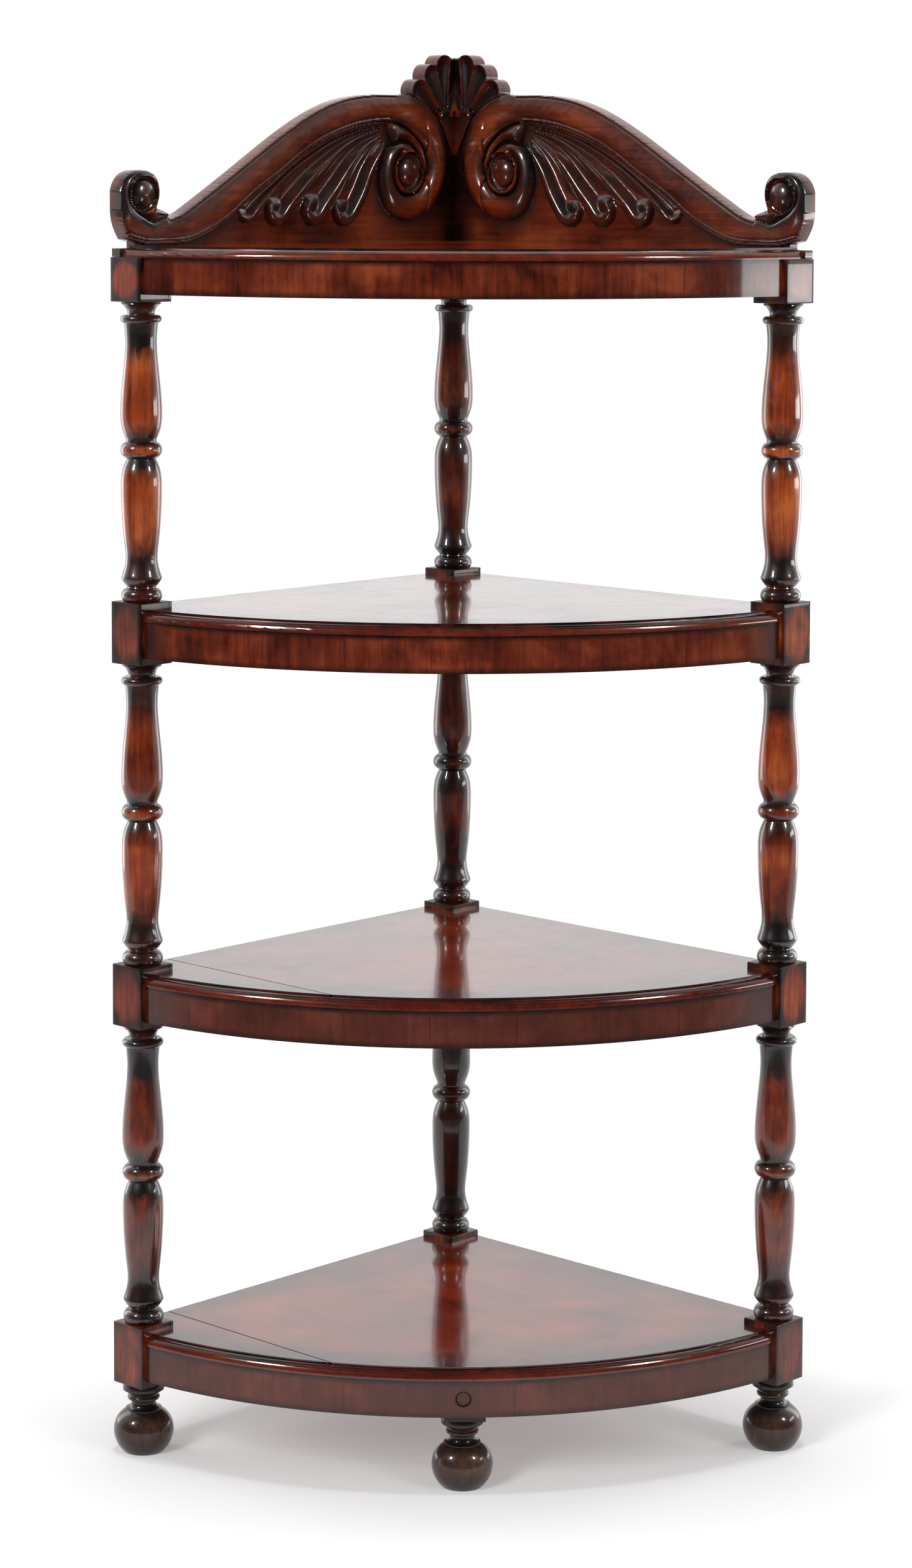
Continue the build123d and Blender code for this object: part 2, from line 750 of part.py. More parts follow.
def pediment_dowels():
    """Dowels between the pediment and the top rails, three on each side."""
    with BuildPart() as dowels:
        with BuildSketch(corner_frame(panel_base - dowel_length / 2)):
            for wall in ("left", "right"):
                with Locations(*dowel_places(wall)):
                    Circle(dowel_radius)
        extrude(amount=dowel_length)
    return dowels.part


# Corner blocks, friezes, veneers and rails of the four tiers
for tier in tier_names:
    for post in post_places:
        save(corner_block(tier, post), f"{tier}_{post}_block")
    save(frieze(tier), f"{tier}_frieze")
    save(veneer(tier), f"{tier}_frieze_veneer")
    for wall in ("left", "right"):
        save(rail(tier, wall), f"{tier}_{wall}_rail")

# Shelves; the two lower ones are jointed from a wide and a narrow board
save(shelf_board("top"), "top_board")
save(shelf_board("upper"), "upper_shelf")
for tier in ("middle", "bottom"):
    save(shelf_board(tier, x_to=strip_start - joint_gap), f"{tier}_shelf")
    save(shelf_board(tier, x_from=strip_start), f"{tier}_shelf_strip")

# Turned posts of the three stages
for stage, stage_name in enumerate(("lower", "middle", "upper")):
    for post in post_places:
        save(turned_post(stage, post), f"{stage_name}_{post}_post")

# Feet
for post, place in post_places.items():
    save(ball_foot(place), f"{post}_foot")
save(ball_foot(front_foot_place), "front_foot")
save(front_foot_block(), "front_foot_block")
save(foot_plug(), "foot_plug")
save(foot_screw(), "foot_screw")

# Pediment
pediment_half = right_pediment()
shell_half = right_shell()
save(pediment_half, "right_pediment")
save(mirrored(pediment_half), "left_pediment")
save(shell_half, "right_shell")
save(mirrored(shell_half), "left_shell")
save(pediment_dowels(), "pediment_dowels")
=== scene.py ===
# %% [markdown]
# A corner whatnot is a small stand for the corner of a room. This one has four quarter-round
# tiers on turned posts, bowed and veneered friezes, and a carved pediment against the walls.
# The finished frame comes first, from the CAD model, because every piece must fit it.
# All lengths below are in metres unless a name says mm.

# %% Load the frame
from math import atan2, cos, degrees, hypot, pi, radians, sin, sqrt

import bmesh
import bpy
import numpy as np
from mathutils import Matrix, Vector


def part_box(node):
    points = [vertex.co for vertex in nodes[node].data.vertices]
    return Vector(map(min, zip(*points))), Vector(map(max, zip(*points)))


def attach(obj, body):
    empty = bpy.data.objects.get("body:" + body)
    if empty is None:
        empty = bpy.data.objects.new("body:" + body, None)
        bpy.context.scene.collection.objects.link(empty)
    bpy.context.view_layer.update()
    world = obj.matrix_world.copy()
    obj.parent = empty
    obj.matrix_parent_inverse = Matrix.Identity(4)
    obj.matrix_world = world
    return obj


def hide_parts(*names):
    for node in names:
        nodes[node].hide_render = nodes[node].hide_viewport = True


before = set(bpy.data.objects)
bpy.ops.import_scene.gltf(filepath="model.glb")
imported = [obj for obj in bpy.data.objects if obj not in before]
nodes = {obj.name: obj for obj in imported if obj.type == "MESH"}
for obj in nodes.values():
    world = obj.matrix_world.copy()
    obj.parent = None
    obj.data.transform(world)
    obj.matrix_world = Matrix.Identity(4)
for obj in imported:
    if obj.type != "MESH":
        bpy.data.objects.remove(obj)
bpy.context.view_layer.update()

# %% [markdown]
# The stand is drawn from its corner. In the CAD model x runs along the left wall and y along
# the right wall, so a place given that way has to be turned by 45 degrees into the scene.
# A few sizes of the CAD model are named here, and the others are read from its pieces.

# %% Places measured from the corner
CORNER_Y = 0.241
WALL_LENGTH = 0.485
LIP_RADIUS = 0.482
HALF_BLOCK = 0.021
GLUE_LINE = 0.00015
TIERS = ("bottom", "middle", "upper", "top")
STAGES = ("lower", "middle", "upper")
BOARDS = {"bottom": "bottom_shelf", "middle": "middle_shelf", "upper": "upper_shelf", "top": "top_board"}
POST_PLACES = {"left": (WALL_LENGTH - HALF_BLOCK, HALF_BLOCK),
               "right": (HALF_BLOCK, WALL_LENGTH - HALF_BLOCK),
               "back": (HALF_BLOCK, HALF_BLOCK)}


def from_corner(along_left, along_right, height):
    """A place in the scene, from distances along the two walls."""
    return Vector(((along_right - along_left) / sqrt(2),
                   CORNER_Y - (along_left + along_right) / sqrt(2), height))


def linear(red, green, blue):
    """A colour as a screen shows it, turned into the linear numbers a shader wants."""
    shares = [value / 255 for value in (red, green, blue)]
    return tuple(s / 12.92 if s < 0.04045 else ((s + 0.055) / 1.055) ** 2.4 for s in shares) + (1.0,)


print("the back post stands at", [round(value, 4) for value in from_corner(*POST_PLACES["back"], 0.0)])

# %% [markdown]
# Every finish on this stand is French-polished mahogany: a red-brown wood with long streaks,
# fine open pores, darker clouds, and nearly two centuries of dirt and polish in the hollows.
# The hollows are also darkened with painted shade.
# A picture of wood could be wrapped round each piece, but it would stretch on a turned post.
# Here the grain is noise in space, squeezed across the grain and drawn out along it.

# %% A helper for shader and geometry nodes
def add_node(tree, kind, inputs=None, **settings):
    """Adds a node, with its settings, and gives each named input a value or a link."""
    node = tree.nodes.new(kind)
    for name, value in settings.items():
        setattr(node, name, value)
    for socket, value in (inputs or {}).items():
        if isinstance(value, bpy.types.NodeSocket):
            tree.links.new(value, node.inputs[socket])
        else:
            node.inputs[socket].default_value = value
    return node


def maths(tree, operation, first, second=0.0, third=0.0):
    """One step of arithmetic, as its output socket."""
    return add_node(tree, "ShaderNodeMath", {0: first, 1: second, 2: third},
                    operation=operation).outputs[0]


def times(tree, first, second):
    """The product of two values."""
    return maths(tree, "MULTIPLY", first, second)


def plus(tree, first, second):
    """The sum of two values."""
    return maths(tree, "ADD", first, second)


def minus(tree, first, second):
    """The first value less the second."""
    return maths(tree, "SUBTRACT", first, second)


def ramp(tree, value, low, high, to_low=0.0, to_high=1.0):
    """A smooth step from one value to another."""
    return add_node(tree, "ShaderNodeMapRange",
                    {"Value": value, "From Min": low, "From Max": high,
                     "To Min": to_low, "To Max": to_high},
                    interpolation_type="SMOOTHSTEP").outputs["Result"]


def noise(tree, vector, scale, detail=3.0, roughness=0.55, distortion=0.0):
    """Soft random values, finer the larger the scale is."""
    return add_node(tree, "ShaderNodeTexNoise",
                    {"Vector": vector, "Scale": scale, "Detail": detail,
                     "Roughness": roughness, "Distortion": distortion}).outputs[0]


def blend_colour(tree, share, first, second):
    """The first colour where the share is 0, and the second where it is 1."""
    return add_node(tree, "ShaderNodeMix", {0: share, 6: first, 7: second}, data_type="RGBA").outputs[2]


def largest(tree, value, *others):
    """The largest of several values."""
    for other in others:
        value = maths(tree, "MAXIMUM", value, other)
    return value


def diagonal(tree, aside, along):
    """The straight distance that two steps at right angles come to."""
    return maths(tree, "SQRT", plus(tree, times(tree, aside, aside), times(tree, along, along)))


def object_place(tree):
    """The place of a point in its object's own coordinates."""
    return add_node(tree, "ShaderNodeTexCoord").outputs["Object"]


def split(tree, vector):
    """The x, y and z of a vector, as sockets."""
    return add_node(tree, "ShaderNodeSeparateXYZ", {0: vector}).outputs


print("node helpers ready")

# %% [markdown]
# The first part of the wood is its figure: streaks along the grain, broad clouds across it and
# short dark pores. The grain's length and width are given in metres, and a Mapping node of the
# texture kind turns them to the direction in which the board was cut.

# %% Figure of the wood
TONES = {
    "ruddy": (linear(66, 19, 9), linear(122, 43, 20), linear(166, 76, 36)),
    "warm": (linear(84, 26, 9), linear(150, 62, 22), linear(196, 104, 44)),
    "glow": (linear(76, 23, 9), linear(138, 53, 21), linear(184, 92, 40)),
    "brown": (linear(52, 17, 9), linear(98, 36, 20), linear(136, 62, 34)),
    "deep": (linear(34, 13, 10), linear(62, 25, 17), linear(96, 44, 28)),
    "board": (linear(92, 27, 13), linear(149, 50, 26), linear(182, 80, 42)),
    "russet": (linear(66, 27, 18), linear(84, 37, 25), linear(104, 50, 34)),
    "smoky": (linear(36, 22, 17), linear(68, 45, 35), linear(102, 70, 54)),
    "carved": (linear(60, 20, 10), linear(116, 46, 21), linear(162, 79, 39)),
}
# The colour of dirt, also used as painted shade wherever a mask darkens hollows, creases and places under
# other parts.
DIRT_AND_SHADE_TONE = linear(17, 9, 8)


def wood_figure(tree, vector, tones, cloud_size=0.09, streak_share=0.62):
    """Colour, pores and clouds of mahogany, from coordinates stretched along the grain."""
    streaks = noise(tree, vector, 1.0, 5.0, 0.62, 0.35)
    clouds = noise(tree, object_place(tree), 1.0 / cloud_size, 3.0, 0.5, 0.4)
    figure = plus(tree, times(tree, streaks, streak_share), times(tree, clouds, 1.0 - streak_share))
    shade = add_node(tree, "ShaderNodeValToRGB", {0: figure})
    stops = shade.color_ramp.elements
    stops[0].position, stops[0].color = 0.36, tones[0]
    stops[1].position, stops[1].color = 0.66, tones[2]
    stops.new(0.51).color = tones[1]
    pores = ramp(tree, noise(tree, vector, 5.5, 2.0, 0.7), 0.62, 0.76)
    return shade.outputs[0], pores, clouds


def grain_vector(tree, length, width, turn=(0.0, 0.0, 0.0)):
    """Object coordinates drawn out along x, turned to the way the board was cut."""
    return add_node(tree, "ShaderNodeMapping",
                    {"Vector": object_place(tree), "Rotation": turn, "Scale": (length, width, width)},
                    vector_type="TEXTURE").outputs[0]


print("tones:", ", ".join(TONES))

# %% [markdown]
# The second part is the surface. Shellac polish is a clear hard coat, so the shader has a coat
# over the wood, and light is mirrored twice at a low angle. Hands and time leave it uneven, so
# the roughness wanders a little. Dirt and painted shade are mixed in where a mask says, and
# dull the polish.

# %% Polish over the wood
def polished(tree, wood, dirt_and_shade, dull=(0.20, 0.40), under=0.3, coat=0.9, coat_rough=0.07,
             pore_depth=0.00002, pore_share=0.25):
    """Finishes a wood material: pores, dirt and painted shade, sheen, coat and a faint relief."""
    colour, pores, clouds = wood
    smears = noise(tree, object_place(tree), 34.0, 4.0, 0.6, 0.6)
    colour = blend_colour(tree, times(tree, pores, pore_share), colour, DIRT_AND_SHADE_TONE)
    patchy = maths(tree, "MULTIPLY_ADD", plus(tree, smears, clouds), 0.8, 0.2)
    # Dirt and painted shade: where the mask is high, the dirt colour is mixed in.
    darkening_share = add_node(tree, "ShaderNodeClamp", {0: times(tree, dirt_and_shade, patchy)}).outputs[0]
    colour = blend_colour(tree, darkening_share, colour, DIRT_AND_SHADE_TONE)
    sheen = ramp(tree, plus(tree, smears, times(tree, darkening_share, 0.25)), 0.35, 0.85, dull[0], dull[1])
    relief = minus(tree, smears, pores)
    bump = add_node(tree, "ShaderNodeBump",
                    {"Strength": 0.55, "Distance": pore_depth, "Height": relief}).outputs[0]
    shader = add_node(tree, "ShaderNodeBsdfPrincipled",
                      {"Base Color": colour, "Roughness": sheen, "Normal": bump, "IOR": 1.5,
                       "Specular IOR Level": under, "Coat Weight": coat,
                       "Coat Roughness": coat_rough, "Coat IOR": 1.5}).outputs[0]
    add_node(tree, "ShaderNodeOutputMaterial", {"Surface": shader})


def new_material(name):
    """An empty material and its node tree."""
    material = bpy.data.materials.new(name)
    material.use_nodes = True
    material.node_tree.nodes.clear()
    return material, material.node_tree


print("polish ready")

# %% [markdown]
# Posts, feet, blocks and carving carry their own mask of dirt and painted shade, a number on
# each point that says how deep in a hollow it lies. The material reads it by its name. Upright
# grain suits posts and blocks, and level grain suits the pediment, as they were cut from the
# plank. Where old polish has worn through, its edge is ragged, so noise along the grain moves
# that edge.

# %% Solid mahogany with a mask of dirt and painted shade
UPRIGHT, SIDEWAYS = (0.0, radians(90), 0.0), (0.0, 0.0, 0.0)
ALONG_WALL = {"right": (0.0, 0.0, radians(-45)), "left": (0.0, 0.0, radians(-135))}
SHINY = {"dull": (0.25, 0.42), "under": 0.15, "coat": 0.6}
WORN = {"dull": (0.32, 0.50), "under": 0.10, "coat": 0.35}
CARVED = {"coat_rough": 0.13}
BLOCK_LOOKS = {"top": ("ruddy", SHINY), "upper": ("warm", WORN), "middle": ("glow", WORN),
               "bottom": ("glow", SHINY), "left": ("brown", WORN)}


def solid_mahogany(name, tones, turn, length=0.11, width=0.0045, ragged=0.0, **polish):
    """Mahogany that reads its dirt and painted shade from the points of the mesh. A ragged one looks worn."""
    material, tree = new_material(name)
    wood = wood_figure(tree, grain_vector(tree, length, width, turn), TONES[tones], 0.06, 0.42)
    mask = add_node(tree, "ShaderNodeAttribute", attribute_name="grime_and_shade").outputs["Fac"]
    if ragged:
        wander = noise(tree, grain_vector(tree, 0.042, 0.013, turn), 1.0, 5.0, 0.65, 0.9)
        shift = maths(tree, "MULTIPLY_ADD", wander, ragged, -0.5 * ragged)
        mask = ramp(tree, plus(tree, mask, shift), 0.12, 0.80, 0.0, 0.92)
    polished(tree, wood, mask, **polish)
    return material


# Darker tones for the lower stages are painted shade under the shelves above.
post_finish = {stage: solid_mahogany(f"turned_mahogany_{stage}", tones, UPRIGHT, ragged=0.9)
               for stage, tones in (("upper", "warm"), ("middle", "glow"), ("lower", "ruddy"))}
foot_finish = solid_mahogany("turned_mahogany_foot", "smoky", UPRIGHT, dull=(0.24, 0.42), under=0.2, coat=0.6)
block_finish = {block: solid_mahogany(f"block_mahogany_{block}", tones, UPRIGHT, 0.06, 0.004, 0.9, **polish)
                for block, (tones, polish) in BLOCK_LOOKS.items()}
shell_finish, carved_finish = {}, {}
for wall, grain in ALONG_WALL.items():
    shell_finish[wall] = solid_mahogany(f"shell_mahogany_{wall}", "brown", grain, 0.06, 0.005, **CARVED)
    carved_finish[wall] = solid_mahogany(f"carved_mahogany_{wall}", "carved", grain, 0.10, 0.005, **CARVED)
print("solid finishes:", 1 + len(post_finish) + len(block_finish) + len(shell_finish) + len(carved_finish))

# %% [markdown]
# A mesh is seen only once an object carries it into the scene's collection. A CAD node that
# stays only gets a finish.

# %% Put pieces into the scene
def add_to_scene(name, data):
    """An object that holds the given mesh, light or camera."""
    thing = bpy.data.objects.new(name, data)
    bpy.context.scene.collection.objects.link(thing)
    return thing


def install(piece, cad_node):
    """The piece takes the place of a CAD node and moves with the stand."""
    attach(piece, "root")
    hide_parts(cad_node)


def dress(thing, material):
    """Gives every part of an object one finish."""
    for place in thing.material_slots:
        place.material = material


def store_grime_and_shade(mesh, masks):
    """Keeps the mask of dirt and painted shade on the points of a mesh, where the materials look for it."""
    mesh.attributes.new("grime_and_shade", "FLOAT", "POINT").data.foreach_set("value", masks)


print("CAD nodes to dress or replace:", len(nodes))

# %% [markdown]
# The shelves are plain boards, polished on top, with grain parallel to the joint near the left
# post. Measured from the corner, their finish darkens towards the moulded edge, has painted
# shade in the quirk of the moulding and by the walls, and a painted highlight on the lip. It
# also draws the joint's thin line. The CAD solids are already right. Only the narrow strips
# are copied, with their edge moved back by a hair, so that the joint stands open.

# %% Shelf finish
STRIP_WIDTH, JOINT_OPENING, QUIRK_RADIUS = 0.073, 0.0012, 0.4735
JOINTED = ("middle", "bottom")
joint_place = WALL_LENGTH - STRIP_WIDTH


def corner_distances(tree):
    """Where a point lies, seen from the corner: to the right, forward, up and along the walls."""
    aside, across, height = split(tree, object_place(tree))
    depth = minus(tree, CORNER_Y, across)
    left = times(tree, minus(tree, depth, aside), sqrt(0.5))
    right = times(tree, plus(tree, depth, aside), sqrt(0.5))
    return aside, depth, height, left, right


def board_mahogany(name, joint_at=None):
    """Finish of a shelf, with the line of its joint if it has one."""
    material, tree = new_material(name)
    wood = wood_figure(tree, grain_vector(tree, 0.16, 0.006, ALONG_WALL["right"]), TONES["board"], 0.13, 0.30)
    aside, depth, height, left, right = corner_distances(tree)
    radius, place = diagonal(tree, aside, depth), object_place(tree)
    edge = ramp(tree, radius, 0.400, 0.474, 0.0, 0.85)
    chips = times(tree, ramp(tree, noise(tree, place, 260.0, 2.0, 0.7), 0.66, 0.70),
                  ramp(tree, radius, 0.43, 0.47, 0.0, 0.9))
    stains = ramp(tree, noise(tree, place, 6.0, 3.0, 0.5, 0.4), 0.44, 0.66, 0.0, 0.55)
    # Painted highlight on the lip, painted shade in the quirk of the moulding, and painted shade by the walls
    # at the back of the board.
    lip_highlight = ramp(tree, radius, LIP_RADIUS - 0.0030, LIP_RADIUS - 0.0004, 0.0, -0.22)
    quirk_shade = times(tree, ramp(tree, radius, QUIRK_RADIUS - 0.0013, QUIRK_RADIUS - 0.0003),
                  ramp(tree, radius, QUIRK_RADIUS + 0.0013, QUIRK_RADIUS + 0.0003, 0.0, 0.9))
    wall = ramp(tree, maths(tree, "MINIMUM", left, right), 0.060, 0.0, 0.0, 0.65)
    dirt_and_shade = largest(tree, plus(tree, edge, lip_highlight), quirk_shade, chips, wall, stains)
    if joint_at:
        away = maths(tree, "ABSOLUTE", minus(tree, left, joint_at))
        line = times(tree, ramp(tree, away, 0.0014, 0.0006, 0.0, 1.3), ramp(tree, radius, 0.476, 0.474))
        dirt_and_shade = largest(tree, dirt_and_shade, line)
    polished(tree, wood, dirt_and_shade, (0.12, 0.25), 0.25, pore_share=0.2)
    return material


def open_joint(mesh):
    """Moves the upper edge of a strip back from its joint."""
    top = max(vertex.co[2] for vertex in mesh.vertices)
    for vertex in mesh.vertices:
        along = (CORNER_Y - vertex.co[1] - vertex.co[0]) * sqrt(0.5)
        if vertex.co[2] > top - 0.0001 and abs(along - joint_place) < 0.0003:
            vertex.co[0] -= JOINT_OPENING * sqrt(0.5)
            vertex.co[1] -= JOINT_OPENING * sqrt(0.5)


board_finish = {}
for tier, board in BOARDS.items():
    board_finish[tier] = board_mahogany(f"board_mahogany_{tier}", joint_place if tier in JOINTED else None)
    dress(nodes[board], board_finish[tier])
for tier in JOINTED:
    opened = add_to_scene(f"{tier}_strip_open_joint", nodes[f"{tier}_shelf_strip"].data.copy())
    open_joint(opened.data)
    dress(opened, board_finish[tier])
    install(opened, f"{tier}_shelf_strip")
print("boards finished:", len(BOARDS) + len(JOINTED))

# %% [markdown]
# Each frieze is faced with leaves of veneer laid upright round the bow. Cutting leaves from one
# block gives a repeat, so neighbours are laid as mirror images. Round the bow the angle from
# the corner, times the radius, is the distance along the frieze, and a ping-pong of that
# distance mirrors each leaf. A fine dark line marks the joints.

# %% Veneer and friezes
LEAF_WIDTH = 0.083
VENEER_LOOKS = {"bottom": ("russet", 0.35), "middle": ("russet", 0.45), "upper": ("brown", 0.75),
                "top": ("brown", 0.1)}


def frieze_veneer(name, tones, low, high, dark_ends, plug=None):
    """Finish of a frieze between two heights, with a painted shadow under its top edge and a painted shadow
    ring round the plug if it has one.
    """
    material, tree = new_material(name)
    aside, depth, height, left, right = corner_distances(tree)
    arc = times(tree, maths(tree, "ARCTAN2", aside, depth), LIP_RADIUS)
    arc = plus(tree, arc, LEAF_WIDTH * 0.4)
    leaf = maths(tree, "FLOOR", maths(tree, "DIVIDE", arc, LEAF_WIDTH))
    across = times(tree, maths(tree, "PINGPONG", arc, LEAF_WIDTH), 1 / 0.006)
    upwards = times(tree, height, 1 / 0.055)
    vector = add_node(tree, "ShaderNodeCombineXYZ",
                      {0: upwards, 1: across, 2: times(tree, leaf, 0.35)}).outputs[0]
    wood = wood_figure(tree, vector, TONES[tones], 0.045, 0.34)
    seam = ramp(tree, maths(tree, "PINGPONG", arc, LEAF_WIDTH / 2), 0.0007, 0.0002, 0.0, 0.55)
    foot = ramp(tree, height, low + 0.008, low, 0.0, 0.75)
    # Painted shadow at the top of the frieze, under the moulded lip.
    shadow_under_lip = ramp(tree, height, high - 0.007, high, 0.0, 0.95)
    ends = ramp(tree, maths(tree, "MINIMUM", left, right), 0.092, 0.042, 0.0, dark_ends)
    dirt_and_shade = largest(tree, seam, ends, foot, shadow_under_lip)
    if plug:
        middle, level, radius = plug
        off = diagonal(tree, minus(tree, aside, middle), minus(tree, height, level))
        # A painted shadow ring round the edge of the plug.
        dirt_and_shade = largest(tree, dirt_and_shade, ramp(tree, off, radius + 0.0022, radius + 0.0008, 0.0, 1.3))
    polished(tree, wood, dirt_and_shade, (0.19, 0.36), 0.15, 0.65, pore_depth=0.00004)
    return material


plug_low, plug_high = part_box("foot_plug")
plug = ((plug_low[0] + plug_high[0]) / 2, (plug_low[2] + plug_high[2]) / 2, (plug_high[2] - plug_low[2]) / 2)
for tier, (tones, dark_ends) in VENEER_LOOKS.items():
    low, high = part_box(f"{tier}_frieze_veneer")
    dress(nodes[f"{tier}_frieze_veneer"],
          frieze_veneer(f"frieze_veneer_{tier}", tones, low[2], high[2], dark_ends,
                        plug if tier == "bottom" else None))
print("friezes veneered:", len(VENEER_LOOKS))

# %% [markdown]
# Behind the veneer are the frieze's core and two straight rails to each tier. They are seen
# only from below and from the walls' side, where the wood was left dry, with saw marks and
# dust. A duller mahogany with no coat keeps them apart from the polished face. The screw
# behind the plug is bright steel that has gone grey.

# %% Unpolished wood and steel
def dry_mahogany(name, tones, turn):
    """Wood without polish, with dust in its grain."""
    material, tree = new_material(name)
    colour, pores, clouds = wood_figure(tree, grain_vector(tree, 0.14, 0.005, turn), TONES[tones])
    dust = ramp(tree, noise(tree, object_place(tree), 18.0, 4.0, 0.6, 0.3), 0.45, 0.75, 0.0, 0.45)
    colour = blend_colour(tree, dust, colour, linear(96, 78, 66))
    colour = blend_colour(tree, times(tree, pores, 0.5), colour, DIRT_AND_SHADE_TONE)
    bump = add_node(tree, "ShaderNodeBump",
                    {"Strength": 0.5, "Distance": 0.0002, "Height": pores}).outputs[0]
    rough = ramp(tree, clouds, 0.3, 0.7, 0.55, 0.8)
    shader = add_node(tree, "ShaderNodeBsdfPrincipled",
                      {"Base Color": colour, "Roughness": rough, "Normal": bump}).outputs[0]
    add_node(tree, "ShaderNodeOutputMaterial", {"Surface": shader})
    return material


core_finish = dry_mahogany("core_mahogany", "deep", SIDEWAYS)
for tier in TIERS:
    dress(nodes[f"{tier}_frieze"], core_finish)
for wall, grain in ALONG_WALL.items():
    rail_finish = dry_mahogany(f"rail_mahogany_{wall}", "brown", grain)
    for tier in TIERS:
        dress(nodes[f"{tier}_{wall}_rail"], rail_finish)
dress(nodes["pediment_dowels"], dry_mahogany("dowel_wood", "warm", UPRIGHT))

steel, tree = new_material("screw_steel")
tarnish = noise(tree, object_place(tree), 400.0, 4.0, 0.6)
grey = blend_colour(tree, tarnish, linear(150, 148, 146), linear(84, 78, 72))
shader = add_node(tree, "ShaderNodeBsdfPrincipled",
                  {"Base Color": grey, "Metallic": 1.0,
                   "Roughness": ramp(tree, tarnish, 0.3, 0.7, 0.3, 0.55)}).outputs[0]
add_node(tree, "ShaderNodeOutputMaterial", {"Surface": shader})
dress(nodes["foot_screw"], steel)
print("hidden pieces finished")

# %% [markdown]
# Outlines of turnings and carvings are drawn with straight lines, arcs through three points and
# smooth lines through many. The smooth line here is a natural cubic spline: the curve that a
# thin wooden batten takes when it is bent round nails.

# %% Lines, arcs and smooth lines
def arc_through(first, middle, last, steps=9):
    """Points on the circle through three points, from the first to the last."""
    (ax, ay), (bx, by), (cx, cy) = first, middle, last
    scale = 2 * (ax * (by - cy) + bx * (cy - ay) + cx * (ay - by))
    squares = [ax * ax + ay * ay, bx * bx + by * by, cx * cx + cy * cy]
    ux = (squares[0] * (by - cy) + squares[1] * (cy - ay) + squares[2] * (ay - by)) / scale
    uy = (squares[0] * (cx - bx) + squares[1] * (ax - cx) + squares[2] * (bx - ax)) / scale
    radius = hypot(ax - ux, ay - uy)
    start, halfway, end = (atan2(y - uy, x - ux) for x, y in (first, middle, last))
    turn = (end - start) % (2 * pi)
    if (halfway - start) % (2 * pi) > turn:
        turn -= 2 * pi
    angles = [start + turn * k / steps for k in range(steps + 1)]
    return [(ux + radius * cos(a), uy + radius * sin(a)) for a in angles]


def smooth_through(points, step):
    """Points about a step apart on a natural cubic spline through the given ones."""
    points = np.array(points, float)
    knots = np.concatenate([[0], np.cumsum(np.linalg.norm(np.diff(points, axis=0), axis=1))])
    gaps = np.diff(knots)
    count = len(points)
    system, right = np.eye(count), np.zeros((count, points.shape[1]))
    for k in range(1, count - 1):
        system[k, k - 1:k + 2] = gaps[k - 1], 2 * (gaps[k - 1] + gaps[k]), gaps[k]
        right[k] = 6 * ((points[k + 1] - points[k]) / gaps[k] - (points[k] - points[k - 1]) / gaps[k - 1])
    bend = np.linalg.solve(system, right)
    places = np.linspace(0, knots[-1], max(2, int(knots[-1] / step) + 1))
    span = np.clip(np.searchsorted(knots, places, "right") - 1, 0, count - 2)
    before, after = (places - knots[span])[:, None], (knots[span + 1] - places)[:, None]
    gap = gaps[span][:, None]
    return (bend[span] * after ** 3 / (6 * gap) + bend[span + 1] * before ** 3 / (6 * gap)
            + (points[span] / gap - bend[span] * gap / 6) * after
            + (points[span + 1] / gap - bend[span + 1] * gap / 6) * before)


print("an arc of", len(arc_through((0, 0), (1, 1), (2, 0))), "points")

# %% [markdown]
# A turner shapes a post by moving a cutter along a spinning blank, so its whole shape is one
# profile. Geometry Nodes can do the same: lay out a grid, send each row to one point of the
# profile and each column to one angle, and merge the seam. The mask of dirt and painted shade
# rides along from the profile's points. The tree has named inputs, so all thirteen turnings share it.

